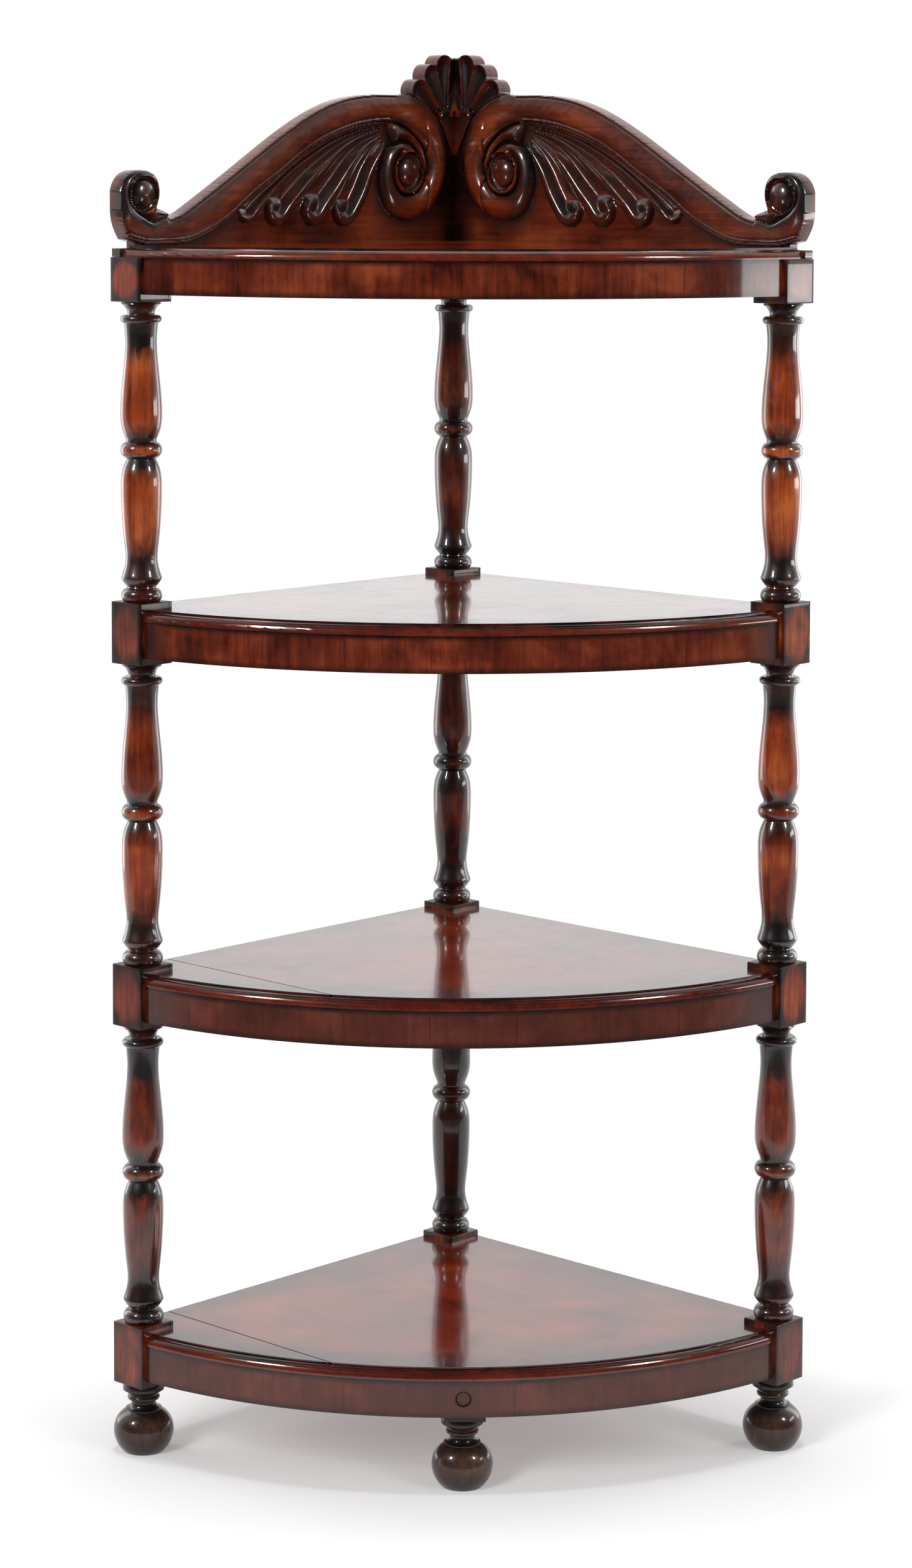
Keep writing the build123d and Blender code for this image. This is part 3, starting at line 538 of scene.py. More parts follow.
# %% A lathe in Geometry Nodes
def lathe_tree():
    """A tree that turns the points of a profile round the upright axis."""
    tree = bpy.data.node_groups.new("lathe", "GeometryNodeTree")
    for name, kind in (("Profile", "Geometry"), ("Segments", "Int"), ("Foot", "Vector"),
                       ("Finish", "Material")):
        tree.interface.new_socket(name, in_out="INPUT", socket_type=f"NodeSocket{kind}")
    tree.interface.new_socket("Turning", in_out="OUTPUT", socket_type="NodeSocketGeometry")
    profile, segments, foot, finish = list(add_node(tree, "NodeGroupInput").outputs)[:4]
    stations = add_node(tree, "GeometryNodeAttributeDomainSize", {0: profile}).outputs["Point Count"]
    columns = plus(tree, segments, 1.0)
    sheet = add_node(tree, "GeometryNodeMeshGrid", {"Vertices X": stations, "Vertices Y": columns}).outputs[0]
    index = add_node(tree, "GeometryNodeInputIndex").outputs[0]
    row = maths(tree, "FLOOR", maths(tree, "DIVIDE", plus(tree, index, 0.5), columns))
    column = minus(tree, index, times(tree, row, columns))
    angle = times(tree, maths(tree, "DIVIDE", column, segments), 2 * pi)

    def of_station(value, kind):
        """A value of the profile's points, one to each row of the grid."""
        return add_node(tree, "GeometryNodeSampleIndex", {"Geometry": profile, "Value": value, "Index": row},
                        data_type=kind).outputs[0]

    drawn = of_station(add_node(tree, "GeometryNodeInputPosition").outputs[0], "FLOAT_VECTOR")
    mask = add_node(tree, "GeometryNodeInputNamedAttribute", {"Name": "grime_and_shade"}, data_type="FLOAT").outputs[0]
    radius, _, height = split(tree, drawn)
    place = add_node(tree, "ShaderNodeCombineXYZ",
                     {0: times(tree, radius, maths(tree, "COSINE", angle)),
                      1: times(tree, radius, maths(tree, "SINE", angle)), 2: height}).outputs[0]
    placed = add_node(tree, "ShaderNodeVectorMath", {0: place, 1: foot}, operation="ADD").outputs[0]
    turned = add_node(tree, "GeometryNodeSetPosition", {"Geometry": sheet, "Position": placed}).outputs[0]
    masked = add_node(tree, "GeometryNodeStoreNamedAttribute",
                      {"Geometry": turned, "Name": "grime_and_shade", "Value": of_station(mask, "FLOAT")},
                      data_type="FLOAT", domain="POINT").outputs[0]
    closed = add_node(tree, "GeometryNodeMergeByDistance",
                      {"Geometry": masked, "Distance": 0.00001}).outputs[0]
    smooth = add_node(tree, "GeometryNodeSetShadeSmooth", {"Geometry": closed}).outputs[0]
    whole = add_node(tree, "GeometryNodeRealizeInstances", {"Geometry": smooth}).outputs[0]
    finished = add_node(tree, "GeometryNodeSetMaterial", {"Geometry": whole, "Material": finish}).outputs[0]
    add_node(tree, "NodeGroupOutput", {"Turning": finished})
    return tree


lathe = lathe_tree()
print("lathe tree with", len(lathe.nodes), "nodes")

# %% [markdown]
# To turn a piece, its profile becomes a mesh of loose points with x as the radius and z as the
# height. The lathe runs on it as a modifier, and the evaluated result is kept as a plain mesh.
# Sharp edges are marked by angle, so beads stay round and shoulders stay crisp.

# %% Turn a profile into a piece
def close_and_turn_out(mesh, sharp=38):
    """Points every face outwards, and marks the edges that should look crisp."""
    work = bmesh.new()
    work.from_mesh(mesh)
    bmesh.ops.remove_doubles(work, verts=work.verts, dist=0.000002)
    bmesh.ops.recalc_face_normals(work, faces=work.faces)
    if work.calc_volume(signed=True) < 0:
        bmesh.ops.reverse_faces(work, faces=work.faces)
    for face in work.faces:
        face.smooth = True
    work.to_mesh(mesh)
    work.free()
    mesh.set_sharp_from_angle(angle=radians(sharp))


def turn(name, profile, masks, foot, material, segments=72):
    """A turned piece from (radius, height) points that run from the bottom to the top."""
    source = bpy.data.meshes.new(name + "_profile")
    source.from_pydata([(radius, 0.0, height) for radius, height in profile], [], [])
    store_grime_and_shade(source, masks)
    carrier = add_to_scene(name + "_profile", source)
    modifier = carrier.modifiers.new("lathe", "NODES")
    modifier.node_group = lathe
    sockets = {item.name: item.identifier for item in lathe.interface.items_tree if item.in_out == "INPUT"}
    modifier[sockets["Segments"]] = segments
    modifier[sockets["Foot"]] = tuple(foot)
    modifier[sockets["Finish"]] = material
    graph = bpy.context.evaluated_depsgraph_get()
    mesh = bpy.data.meshes.new_from_object(carrier.evaluated_get(graph))
    bpy.data.objects.remove(carrier)
    mesh.name = name
    close_and_turn_out(mesh)
    return add_to_scene(name, mesh)


print("ready to turn")

# %% [markdown]
# The posts are double vases: a slim vase over a bulbous one, with beads between them and a
# moulded cap and base. The profile repeats the CAD model's stations, as shares of the height
# from the top and of the greatest radius. Dirt and painted shade gather by the beads, caps and
# bases, and the swelling of each vase is worn back to bright orange wood.

# %% Profile of a post
POST_RADIUS = 0.0205
POST_PARTS = (
    ("line", ((0.0, 0.0), (0.0, 0.93), (0.0065, 0.96))),
    ("arc", ((0.0065, 0.96), (0.018, 0.76), (0.038, 0.65))),
    ("arc", ((0.045, 0.68), (0.059, 0.99), (0.0703, 0.82))),
    ("smooth", ((0.0735, 0.81), (0.120, 0.755), (0.200, 0.81), (0.290, 0.94), (0.365, 1.0),
                (0.420, 0.93), (0.4577, 0.73))),
    ("arc", ((0.466, 0.74), (0.493, 1.0), (0.520, 0.74))),
    ("smooth", ((0.5242, 0.70), (0.552, 0.87), (0.622, 0.98), (0.710, 0.94), (0.800, 0.83),
                (0.870, 0.78), (0.9195, 0.975))),
    ("arc", ((0.9225, 0.975), (0.940, 0.83), (0.951, 0.685))),
    ("arc", ((0.954, 0.70), (0.9788, 0.98), (1.0, 0.86))),
    ("line", ((1.0, 0.86), (1.0, 0.0))),
)
# Dirt and painted shade: darkest under the cap, in the grooves by the beads and at the base.
POST_DIRT_AND_SHADE = ((0.0, 1.0), (0.05, 0.95), (0.085, 0.95), (0.14, 0.75), (0.20, 0.30), (0.27, 0.10), (0.38, 0.08),
             (0.43, 0.5), (0.462, 1.0), (0.493, 0.12), (0.523, 1.0), (0.56, 0.5), (0.62, 0.12),
             (0.74, 0.15), (0.82, 0.55), (0.88, 0.85), (0.915, 0.8), (0.935, 1.0), (0.953, 1.0),
             (0.98, 0.85), (1.0, 1.0))
PROFILE_STEP = 0.003


def outline_of(parts, height, radius):
    """Turns the parts of a profile, given as shares, into heights and radii in metres."""
    points = []
    for kind, shares in parts:
        given = [(share * height, width * radius) for share, width in shares]
        if kind == "arc":
            given = arc_through(*given)
        elif kind == "smooth":
            given = [tuple(pair) for pair in smooth_through(given, PROFILE_STEP)]
        for pair in given:
            if not points or hypot(pair[0] - points[-1][0], pair[1] - points[-1][1]) > 1e-5:
                points.append(pair)
    return points


def from_table(table, share):
    """The value at a share of the way, between the rows of a table of shares and values."""
    return np.interp(share, *zip(*table))


print("a post's profile has", len(POST_PARTS), "parts")

# %% [markdown]
# Nine posts stand between the blocks of neighbouring tiers. Each is a little different, because
# they were turned by hand, but their sizes agree, so one profile serves for all. The tones
# differ by stage: the photograph shows the upper posts bright and the lower ones dark.

# %% Turn the nine posts
# Extra darkness for the lower stages and for the back post in the corner: painted shade.
DARKER = {"upper": 0.0, "middle": 0.08, "lower": 0.28, "back": 0.42}
for stage, lower, upper in zip(STAGES, TIERS, TIERS[1:]):
    for post, place in POST_PLACES.items():
        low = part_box(f"{lower}_{post}_block")[1][2] + GLUE_LINE
        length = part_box(f"{upper}_{post}_block")[0][2] - GLUE_LINE - low
        stations = outline_of(POST_PARTS, length, POST_RADIUS)[::-1]
        darker = DARKER[stage] + (DARKER["back"] if post == "back" else 0.0)
        masks = [darker + (1 - darker) * from_table(POST_DIRT_AND_SHADE, down / length) for down, radius in stations]
        piece = turn(f"{stage}_{post}_turning", [(radius, length - down) for down, radius in stations], masks,
                     from_corner(*place, low), post_finish[stage])
        install(piece, f"{stage}_{post}_post")
print("a post has", len(piece.data.polygons), "faces")

# %% [markdown]
# The feet are flattened balls under a small cup and ring. They were made on the same lathe, so
# the same tree turns them. They are the darkest wood of all, after years of floor polish.

# %% Turn the four feet
BALL_RADIUS = 0.0298
FOOT_PARTS = (
    ("line", ((0.0, 0.0), (0.0, 0.67))),
    ("arc", ((0.0, 0.67), (0.145, 0.916), (0.318, 1.0))),
    ("smooth", ((0.318, 1.0), (0.41, 0.965), (0.50, 0.872), (0.565, 0.735), (0.609, 0.594))),
    ("arc", ((0.623, 0.594), (0.66, 0.445), (0.72, 0.396))),
    ("arc", ((0.745, 0.42), (0.775, 0.535), (0.808, 0.52))),
    ("arc", ((0.815, 0.50), (0.865, 0.57), (0.90, 0.69))),
    ("line", ((0.945, 0.69), (1.0, 0.65), (1.0, 0.0))),
)
# Dirt and painted shade: darkest where the ball meets the floor, in the neck and under the block.
FOOT_DIRT_AND_SHADE = ((0.0, 0.9), (0.12, 0.5), (0.32, 0.15), (0.5, 0.25), (0.62, 0.9), (0.72, 1.0), (0.78, 0.6),
             (1.0, 0.95))
FOOT_BLOCK_FRONT, FOOT_BLOCK_WIDTH = 0.011, 0.044
front_depth = LIP_RADIUS - FOOT_BLOCK_FRONT - FOOT_BLOCK_WIDTH / 2
foot_places = {**POST_PLACES, "front": (front_depth / sqrt(2), front_depth / sqrt(2))}
foot_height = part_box("bottom_left_block")[0][2] - GLUE_LINE
stations = outline_of(FOOT_PARTS, foot_height, BALL_RADIUS)
masks = [from_table(FOOT_DIRT_AND_SHADE, up / foot_height) for up, radius in stations]
for post, place in foot_places.items():
    piece = turn(f"{post}_ball_foot", [(radius, up) for up, radius in stations], masks,
                 from_corner(*place, 0.0), foot_finish, 80)
    install(piece, f"{post}_foot")
print("feet of height", round(foot_height, 4))

# %% [markdown]
# The corner blocks join posts, rails and friezes. On the real stand their edges are slightly
# rounded by wear, and each face is darker towards its edges round a bright oval. A bevelled
# box with a fine net of points on each face can carry such a mask.

# %% Corner blocks
BLOCK_EDGE_DARKENING = {"top": 1.0, "upper": 0.9, "middle": 0.9, "bottom": 0.8}


def worn_block(name, low, high, strength, material, bevel=0.0007, cuts=9):
    """A box with rounded edges and a mask that darkens each face towards its edges."""
    low, high = Vector(low), Vector(high)
    middle, half = (low + high) / 2, (high - low) / 2
    work = bmesh.new()
    bmesh.ops.create_cube(work, size=2.0, matrix=Matrix.LocRotScale(middle, None, half))
    bmesh.ops.bevel(work, geom=list(work.edges), offset=bevel, segments=3, profile=0.5, affect="EDGES")
    wide = {edge for face in work.faces if face.calc_area() > 1e-4 for edge in face.edges}
    bmesh.ops.subdivide_edges(work, edges=list(wide), cuts=cuts, use_grid_fill=True)
    mesh = bpy.data.meshes.new(name)
    work.to_mesh(mesh)
    work.free()
    close_and_turn_out(mesh)
    mesh.materials.append(material)
    # Each face is darker towards its edges, round a bright oval in its middle.
    masks = []
    for vertex in mesh.vertices:
        shares = sorted(abs(vertex.co[k] - middle[k]) / half[k] for k in range(3))
        outward = (hypot(shares[0], shares[1]) - 0.40) / 0.75
        masks.append(strength * min(1.0, max(0.0, outward)) ** 1.3)
    store_grime_and_shade(mesh, masks)
    return add_to_scene(name, mesh)


for tier in TIERS:
    for post, (x, y) in POST_PLACES.items():
        low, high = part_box(f"{tier}_{post}_block")
        look = "left" if post == "left" and tier in ("middle", "upper") else tier
        piece = worn_block(f"{tier}_{post}_corner", (x - HALF_BLOCK, y - HALF_BLOCK, low[2]),
                           (x + HALF_BLOCK, y + HALF_BLOCK, high[2]), BLOCK_EDGE_DARKENING[tier], block_finish[look])
        for vertex in piece.data.vertices:
            vertex.co = from_corner(*vertex.co)
        close_and_turn_out(piece.data)
        install(piece, f"{tier}_{post}_block")
print("blocks:", len(TIERS) * len(POST_PLACES))

# %% [markdown]
# The block of the front foot and the round plug in the bottom frieze keep their CAD shapes.
# They are made of the same wood, and since they carry no mask of their own, their materials
# take their dirt from height and from a little noise.

# %% Foot block and plug
def small_mahogany(name, tones, low, high, strength):
    """Polished wood that is dirtiest at the low end of a range of heights."""
    material, tree = new_material(name)
    wood = wood_figure(tree, grain_vector(tree, 0.05, 0.003, SIDEWAYS), TONES[tones])
    place = object_place(tree)
    dirt_and_shade = largest(tree, ramp(tree, split(tree, place)[2], low, high, strength, 0.25),
                   ramp(tree, noise(tree, place, 60.0, 3.0), 0.45, 0.7, 0.0, 0.6))
    polished(tree, wood, dirt_and_shade, (0.25, 0.45), 0.15, 0.55)
    return material


block_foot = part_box("front_foot_block")[0][2]
dress(nodes["front_foot_block"],
      small_mahogany("foot_block_mahogany", "deep", block_foot, block_foot + 0.02, 0.9))
dress(nodes["foot_plug"], small_mahogany("plug_mahogany", "brown", plug_low[2], plug_high[2], 0.8))
print("plug and foot block finished")

# %% [markdown]
# The pediment is carved from two boards that meet in the corner. It could be sculpted by hand
# with brushes, but here every cut is written down, so that it can be read and changed. The
# carving is a height map over the board, with a distance to each drawn line. The lines below
# are in millimetres from the corner and above the foot of the board.

# %% Outlines of the pediment
PEDIMENT_HEIGHT_MM, PANEL_MM, BASE_MM = 206.5, 485.0, 8.5
BAND_TOP = ((0.8728, 0.1768), (0.8419, 0.1995), (0.8076, 0.2412), (0.7045, 0.3816), (0.6014, 0.5269),
            (0.4984, 0.6596), (0.3953, 0.7530), (0.2922, 0.7884), (0.2233, 0.7903))
BAND_UNDER = ((0.2440, 0.6480), (0.2922, 0.6402), (0.3608, 0.6111), (0.4295, 0.5593), (0.4984, 0.4818),
              (0.5670, 0.3816), (0.6289, 0.3012), (0.7045, 0.1801), (0.7732, 0.1041), (0.8282, 0.0654),
              (0.8763, 0.0591), (0.9381, 0.0591))
GROUND_TOP = ((0.0, 0.800), (0.125, 0.800), (0.165, 0.730), (0.292, 0.712), (0.395, 0.672), (0.498, 0.570),
              (0.601, 0.432), (0.704, 0.281), (0.808, 0.160), (0.873, 0.118), (0.961, 0.116))
LARGE_TURNS = ((75, 1.034), (90, 1.0), (101, 0.955), (114, 0.916), (127, 0.880), (142, 0.820),
               (158, 0.782), (173, 0.738), (190, 0.692), (210, 0.650), (232, 0.630), (262, 0.625),
               (283, 0.630), (304, 0.625), (323, 0.594), (342, 0.563), (358, 0.538), (376, 0.518),
               (395, 0.503), (410, 0.477))
SMALL_TURNS = ((-66, 1.577), (-48, 1.335), (-20, 1.062), (9, 0.985), (36, 0.915), (64, 0.815), (90, 0.749),
               (129, 0.743), (174, 0.664), (220, 0.694))
LARGE_EYE, LARGE_RADIUS_MM = (0.180 * PANEL_MM, 0.406 * PEDIMENT_HEIGHT_MM), 79.4
SMALL_EYE, SMALL_RADIUS_MM = (0.943 * PANEL_MM, 0.296 * PEDIMENT_HEIGHT_MM), 30.7
LEAF_TIP = (0.8763, 0.2034)
LOBES, MIDDLE_LOBE = ((0.0722, 0.9370), (0.1093, 0.8886), (0.1464, 0.8111)), (0.0309, 0.9450)
LOBE_ROOT, CALYX, CREST_STRIP, STEM = (0.0598, 0.6707), (0.0722, 0.6828), (0.0619, 0.9850), (0.0454, 0.4843)
LOBE_RADIUS_MM, CALYX_RADIUS_MM = 13.0, 8.0


def on_panel(pair):
    """A place in mm, from shares of the board's length and height."""
    return pair[0] * PANEL_MM, pair[1] * PEDIMENT_HEIGHT_MM


def scroll(eye, radius, turns, gap=0.0):
    """Points round an eye. Angles count from the outer side here, as the boards are seen."""
    return [(eye[0] + (radius * share + gap) * cos(radians(angle)),
             eye[1] + (radius * share + gap) * sin(radians(angle))) for angle, share in turns]


large_scroll = smooth_through(scroll(LARGE_EYE, LARGE_RADIUS_MM, LARGE_TURNS), 2.5)
small_scroll = smooth_through(scroll(SMALL_EYE, SMALL_RADIUS_MM, SMALL_TURNS), 1.5)
band_top = smooth_through([on_panel(p) for p in BAND_TOP], 4.0)
band_under = smooth_through([on_panel(p) for p in BAND_UNDER] + [tuple(small_scroll[0])], 4.0)
band_loop = np.vstack([small_scroll, [on_panel(LEAF_TIP)], band_top, large_scroll, band_under[:-1]])
print("band outline of", len(band_loop), "points")

# %% [markdown]
# Two measures do all the carving. One is the distance to a drawn line, for grooves and ridges.
# The other is the distance inside a closed outline, which is positive inside and negative
# outside. Both are worked out for a whole net of points at once.

# %% Distances on the board
STEP_MM, NET_MARGIN_MM = 1.12, 3.0
net_a, net_h = np.meshgrid(*(np.arange(-NET_MARGIN_MM, size + NET_MARGIN_MM, STEP_MM)
                             for size in (PANEL_MM, PEDIMENT_HEIGHT_MM)), indexing="ij")
net = np.column_stack([net_a.ravel(), net_h.ravel()])


def distance_to(line, closed=False):
    """Distance from every point of the net to a line of points, in mm."""
    line = np.array(line, float)
    ends = np.roll(line, -1, axis=0) if closed else line[1:]
    starts = line if closed else line[:-1]
    best = np.full(len(net), 1e9)
    for (x, y), (u, v) in zip(starts, ends):
        dx, dy = u - x, v - y
        share = np.clip(((net[:, 0] - x) * dx + (net[:, 1] - y) * dy) / max(dx * dx + dy * dy, 1e-12), 0, 1)
        best = np.minimum(best, (net[:, 0] - x - share * dx) ** 2 + (net[:, 1] - y - share * dy) ** 2)
    return np.sqrt(best).reshape(net_a.shape)


def depth_inside(loop):
    """Distance to a closed outline, positive inside it."""
    loop = np.array(loop, float)
    inside = np.zeros(len(net), bool)
    for (x, y), (u, v) in zip(loop, np.roll(loop, -1, axis=0)):
        if y != v:
            crossing = (y > net[:, 1]) != (v > net[:, 1])
            inside ^= crossing & (net[:, 0] < x + (net[:, 1] - y) * (u - x) / (v - y))
    distance = distance_to(loop, closed=True)
    return np.where(inside.reshape(net_a.shape), distance, -distance)


def bumpy(distance, width):
    """A soft hump of height 1 on a line, gone at the given distance."""
    return np.clip(1 - (distance / width) ** 2, 0, 1) ** 2


print("net of", net_a.shape, "points")

# %% [markdown]
# The board's silhouette joins four shapes: the plain ground, the low strip at its foot, the
# S-shaped band with a scroll at each end, and the fanned crest by the corner. Joining them is
# simple with distances inside: the largest of the four tells how far a point lies inside them
# all together.

# %% Silhouette of the board
def lobe_loop(share):
    """A round lobe and the wedge that runs from it to the root of the fan."""
    root, centre = np.array(on_panel(LOBE_ROOT)), np.array(on_panel(share))
    heading = atan2(*(centre - root)[::-1])
    angles = np.linspace(heading - pi / 2, heading + pi / 2, 24)
    return np.vstack([[root], centre + LOBE_RADIUS_MM * np.column_stack([np.cos(angles), np.sin(angles)])])


root_a, root_h = on_panel(LOBE_ROOT)
strip_a, strip_top = on_panel(CREST_STRIP)
strip_foot = root_h - 2.0
crest = depth_inside([(-NET_MARGIN_MM, strip_foot), (strip_a, strip_foot), (strip_a, strip_top),
                      (-NET_MARGIN_MM, strip_top)])
for share in LOBES:
    crest = np.maximum(crest, depth_inside(lobe_loop(share)))
ground_top = [on_panel(p) for p in GROUND_TOP]
ground_end, ground_low = ground_top[-1]
ground = depth_inside([(-NET_MARGIN_MM, ground_top[0][1]), *ground_top, (PANEL_MM, ground_low),
                       (PANEL_MM, 0.0), (-NET_MARGIN_MM, 0.0)])
ground = np.minimum(ground, ground_end - net_a)
base = np.minimum(np.minimum(net_h, BASE_MM - net_h), PANEL_MM - net_a)
band = depth_inside(band_loop)
board = np.minimum(np.maximum.reduce([ground, base, band, crest]), net_h)
print("board covers", round(float((board > 0).sum()) * STEP_MM ** 2 / 100), "square cm")

# %% [markdown]
# The band is a shallow cushion between crisp edges, and it winds itself up into the scrolls.
# Grooves divide it into strands round each eye, and every strand is rounded over. So the height
# at a point grows with its distance from the nearest edge or groove. Thin cut lines follow the
# upper and lower edges, and a boss sits in each eye.

# %% Carve the band and the scrolls
GROUND_MM, BAND_MM = 11.5, 4.6
LARGE_BOSS_MM, LARGE_RIM_MM, LARGE_REACH_MM, LARGE_FADE_MM = 15.3, 20.5, 62, 22
SMALL_BOSS_MM, SMALL_RIM_MM, SMALL_REACH_MM, SMALL_FADE_MM = 15.0, 17.6, 36, 12
UPPER_GROOVE = ((158, 131.5), (139, 134), (119, 135), (107, 134), (94.6, 130), (83.8, 124), (75, 117),
                (68, 109.5), (63.7, 100.6), (61.7, 91.8), (62, 84), (66, 74))
COIL_GROOVE = ((126, 112.5), (115, 111.6), (107, 114), (99.5, 115.3), (89.7, 114), (80.8, 108.5),
               (74, 101.6), (70, 94.7), (67, 90.8), (64.6, 84), (67, 73), (73, 65.5), (80, 61),
               (89, 59.6), (98, 61), (106, 66.5), (111, 75), (112, 84), (109, 94), (102.5, 102))
SMALL_GROOVE = ((424, 38.5), (433.6, 36.2), (441, 34.2), (449, 35), (456.5, 38.6), (466, 43.6),
                (474, 51), (477.5, 61), (474, 71), (466, 78))
near_upper = distance_to(smooth_through(UPPER_GROOVE, 2.0))
near_coil = distance_to(smooth_through(COIL_GROOVE, 2.0))
near_small = distance_to(smooth_through(SMALL_GROOVE, 1.5))
from_large = np.hypot(net_a - LARGE_EYE[0], net_h - LARGE_EYE[1])
from_small = np.hypot(net_a - SMALL_EYE[0], net_h - SMALL_EYE[1])
in_large = np.clip((LARGE_REACH_MM - from_large) / LARGE_FADE_MM, 0, 1)
in_small = np.clip((SMALL_REACH_MM - from_small) / SMALL_FADE_MM, 0, 1)
nearest = np.minimum.reduce([np.clip(band, 0, None), near_small, near_upper, near_coil])
roundness = 1.7 + 6.0 * in_large + 3.2 * in_small
width = 15.0 - 3.0 * in_large - 5.0 * in_small
cushion = roundness * np.sqrt(np.clip(1 - (1 - np.clip(nearest / width, 0, 1)) ** 2, 0, 1))
step = BAND_MM - 2.4 * in_large * (net_a > LARGE_EYE[0] - 25) - 1.0 * in_small
strands = GROUND_MM + step + cushion
strands -= 2.6 * bumpy(np.minimum(near_upper, near_coil), 2.6) + 1.6 * bumpy(near_small, 2.2)
near_top, near_under = distance_to(band_top), distance_to(band_under)
cut_lines = 0.9 * bumpy(near_top - 2.8, 1.1) + 0.8 * bumpy(near_under - 2.9, 1.0)
cut_lines += 0.9 * bumpy(near_under - 6.2, 1.2) - 0.5 * bumpy(near_under - 4.5, 1.2)
strands -= cut_lines * (from_large > 52) * (from_small > 30)


def eye(height, distance, radius, sunk, rim):
    """A domed boss in a sunk ring, cut into the strands."""
    floor, beyond = GROUND_MM + sunk, distance - radius
    dome = floor + 8.0 * np.sqrt(np.clip(1 - (distance / radius) ** 2, 0, 1))
    ring = floor + 0.9 * (bumpy(beyond - 2.6, 1.6) + bumpy(beyond - 6.2, 1.6))
    return np.where(distance < radius, dome, np.where(distance < rim, ring, height))


band_height = eye(strands, from_large, LARGE_BOSS_MM, 0.8, LARGE_RIM_MM)
band_height = eye(band_height, from_small, SMALL_BOSS_MM, 1.8, SMALL_RIM_MM)
print("band rises to", round(float(band_height[band > 0].max()), 1), "mm")

# %% [markdown]
# Four feathers spring from the coil and hang under the band. Each one is a hollow gouge cut
# beside a rounded ridge, and the ridge curls round the end of the hollow like a hook. A point
# between a feather's two edges is placed by the share of the way across, and a small table
# of heights across the feather does the rest.

# %% Carve the feathers
FEATHER_EDGES = (
    ((127, 128.6), (162, 123), (198, 111), (227, 97), (256, 81.5), (278, 65), (294, 51), (306, 40),
     (311, 34.5), (318, 32), (325, 34.5), (329, 41), (327, 47)),
    ((129, 125), (162, 115.5), (191, 99.6), (213, 83.6), (230, 69), (242, 56), (256, 42), (264, 32),
     (274, 28), (284.5, 30.5), (291, 38.5), (291.5, 47), (286, 54)),
    ((127, 119), (147.6, 108), (169.4, 86.6), (179.5, 72), (191, 56), (204, 41), (212, 31.5),
     (222.5, 27.5), (233, 30), (240, 38), (241, 46.5), (236, 54)),
    ((121.6, 112.6), (133, 92.4), (140, 78), (144.7, 65), (153, 50), (161, 38.5), (169, 30.5),
     (179, 27.5), (189, 30), (195.5, 37.5), (196.5, 45), (191.5, 52)),
)
# Dirt and painted shade across a feather: darkest at its edges, where it meets its neighbours, and where the
# hollow turns up into the ridge.
FEATHER_DIRT_AND_SHADE = ((0.0, 1.0), (0.05, 0.5), (0.12, 1.0), (0.26, 0.75), (0.40, 0.45), (0.52, 0.9), (0.62, 0.95),
                (0.74, 0.72), (0.84, 0.85), (0.93, 1.0), (1.0, 1.0))
FEATHER_SECTION = ((0.0, 1.2), (0.06, 1.8), (0.12, 1.2), (0.28, -1.2), (0.44, -0.6), (0.56, 3.4),
                   (0.70, 7.2), (0.82, 7.2), (0.94, 5.2), (1.0, 2.6))
FEATHER_WIDTH_MM, NO_FEATHER = 17.0, -9.0
upper_line = band_under
feather_height, feather_dirt_and_shade = np.full(net_a.shape, NO_FEATHER), np.zeros(net_a.shape)
for edge in FEATHER_EDGES:
    line = smooth_through(edge, 2.0)
    opposite = int(np.argmin(np.hypot(*(upper_line - line[-1]).T)))
    kept = upper_line[:opposite + 1]
    inside = depth_inside(np.vstack([line, kept[::-1]])) > 0
    near_low, near_up = distance_to(line), distance_to(kept)
    across = near_up / np.maximum(near_up + near_low, 1e-6)
    size = np.clip((near_up + near_low) / FEATHER_WIDTH_MM, 0.15, 1.0)
    carved_height = from_table(FEATHER_SECTION, across) * size
    feather_dirt_and_shade = np.where(inside, from_table(FEATHER_DIRT_AND_SHADE, across), feather_dirt_and_shade)
    feather_height = np.where(inside, np.maximum(feather_height, carved_height), feather_height)
    upper_line = line
print("feathers stand", round(float(feather_height.max()), 1), "mm from the ground")

# %% [markdown]
# Now the parts are laid over each other as the carver left them: the ground lowest, the
# The mask of dirt and painted shade starts from how deep a hollow is: the average height round
# a point, less the point's own height. More is added by edges, at the foot, on the ground under
# the band and near the corner, as painted shade.

# %% Put the relief together
TOOL_MARK_MM, WIDE_MM, FINE_MM = 0.04, 8.0, 3.0


def softened(field, radius_mm):
    """The average of a field round each point, for finding hollows."""
    reach = int(radius_mm / STEP_MM)
    weights = np.exp(-np.linspace(-2, 2, 2 * reach + 1) ** 2)
    weights /= weights.sum()
    padded = np.pad(field, reach, mode="edge")
    rows = sum(w * padded[k:k + field.shape[0], :] for k, w in enumerate(weights))
    return sum(w * rows[:, k:k + field.shape[1]] for k, w in enumerate(weights))


feathered, on_band = feather_height > NO_FEATHER, band > 0
relief = np.where(feathered, GROUND_MM + feather_height, GROUND_MM)
relief = np.where(on_band, band_height, relief)
wave_a = np.sin(net_a * 0.41 + 1.3 * np.sin(net_h * 0.23))
wave_h = np.sin(net_h * 0.37 + 0.8 * np.sin(net_a * 0.19))
relief += TOOL_MARK_MM * wave_a * wave_h
hollow, fine_hollow = softened(relief, WIDE_MM) - relief, softened(relief, FINE_MM) - relief
# Dirt and painted shade on the band: darker in hollows and towards the edges of its strands; the scrolls are
# darker in tone.
near_edge = np.exp(-np.clip(nearest, 0, None) / (7.5 - 2.5 * in_large))
fan_side = np.clip((net_a - LARGE_EYE[0] + 10) / 30, 0, 1)
band_dirt_and_shade = (0.10 + 0.14 * hollow + 0.75 * fine_hollow + 1.2 * near_edge
              + (0.15 + 0.4 * fan_side) * in_large + 0.60 * in_small)
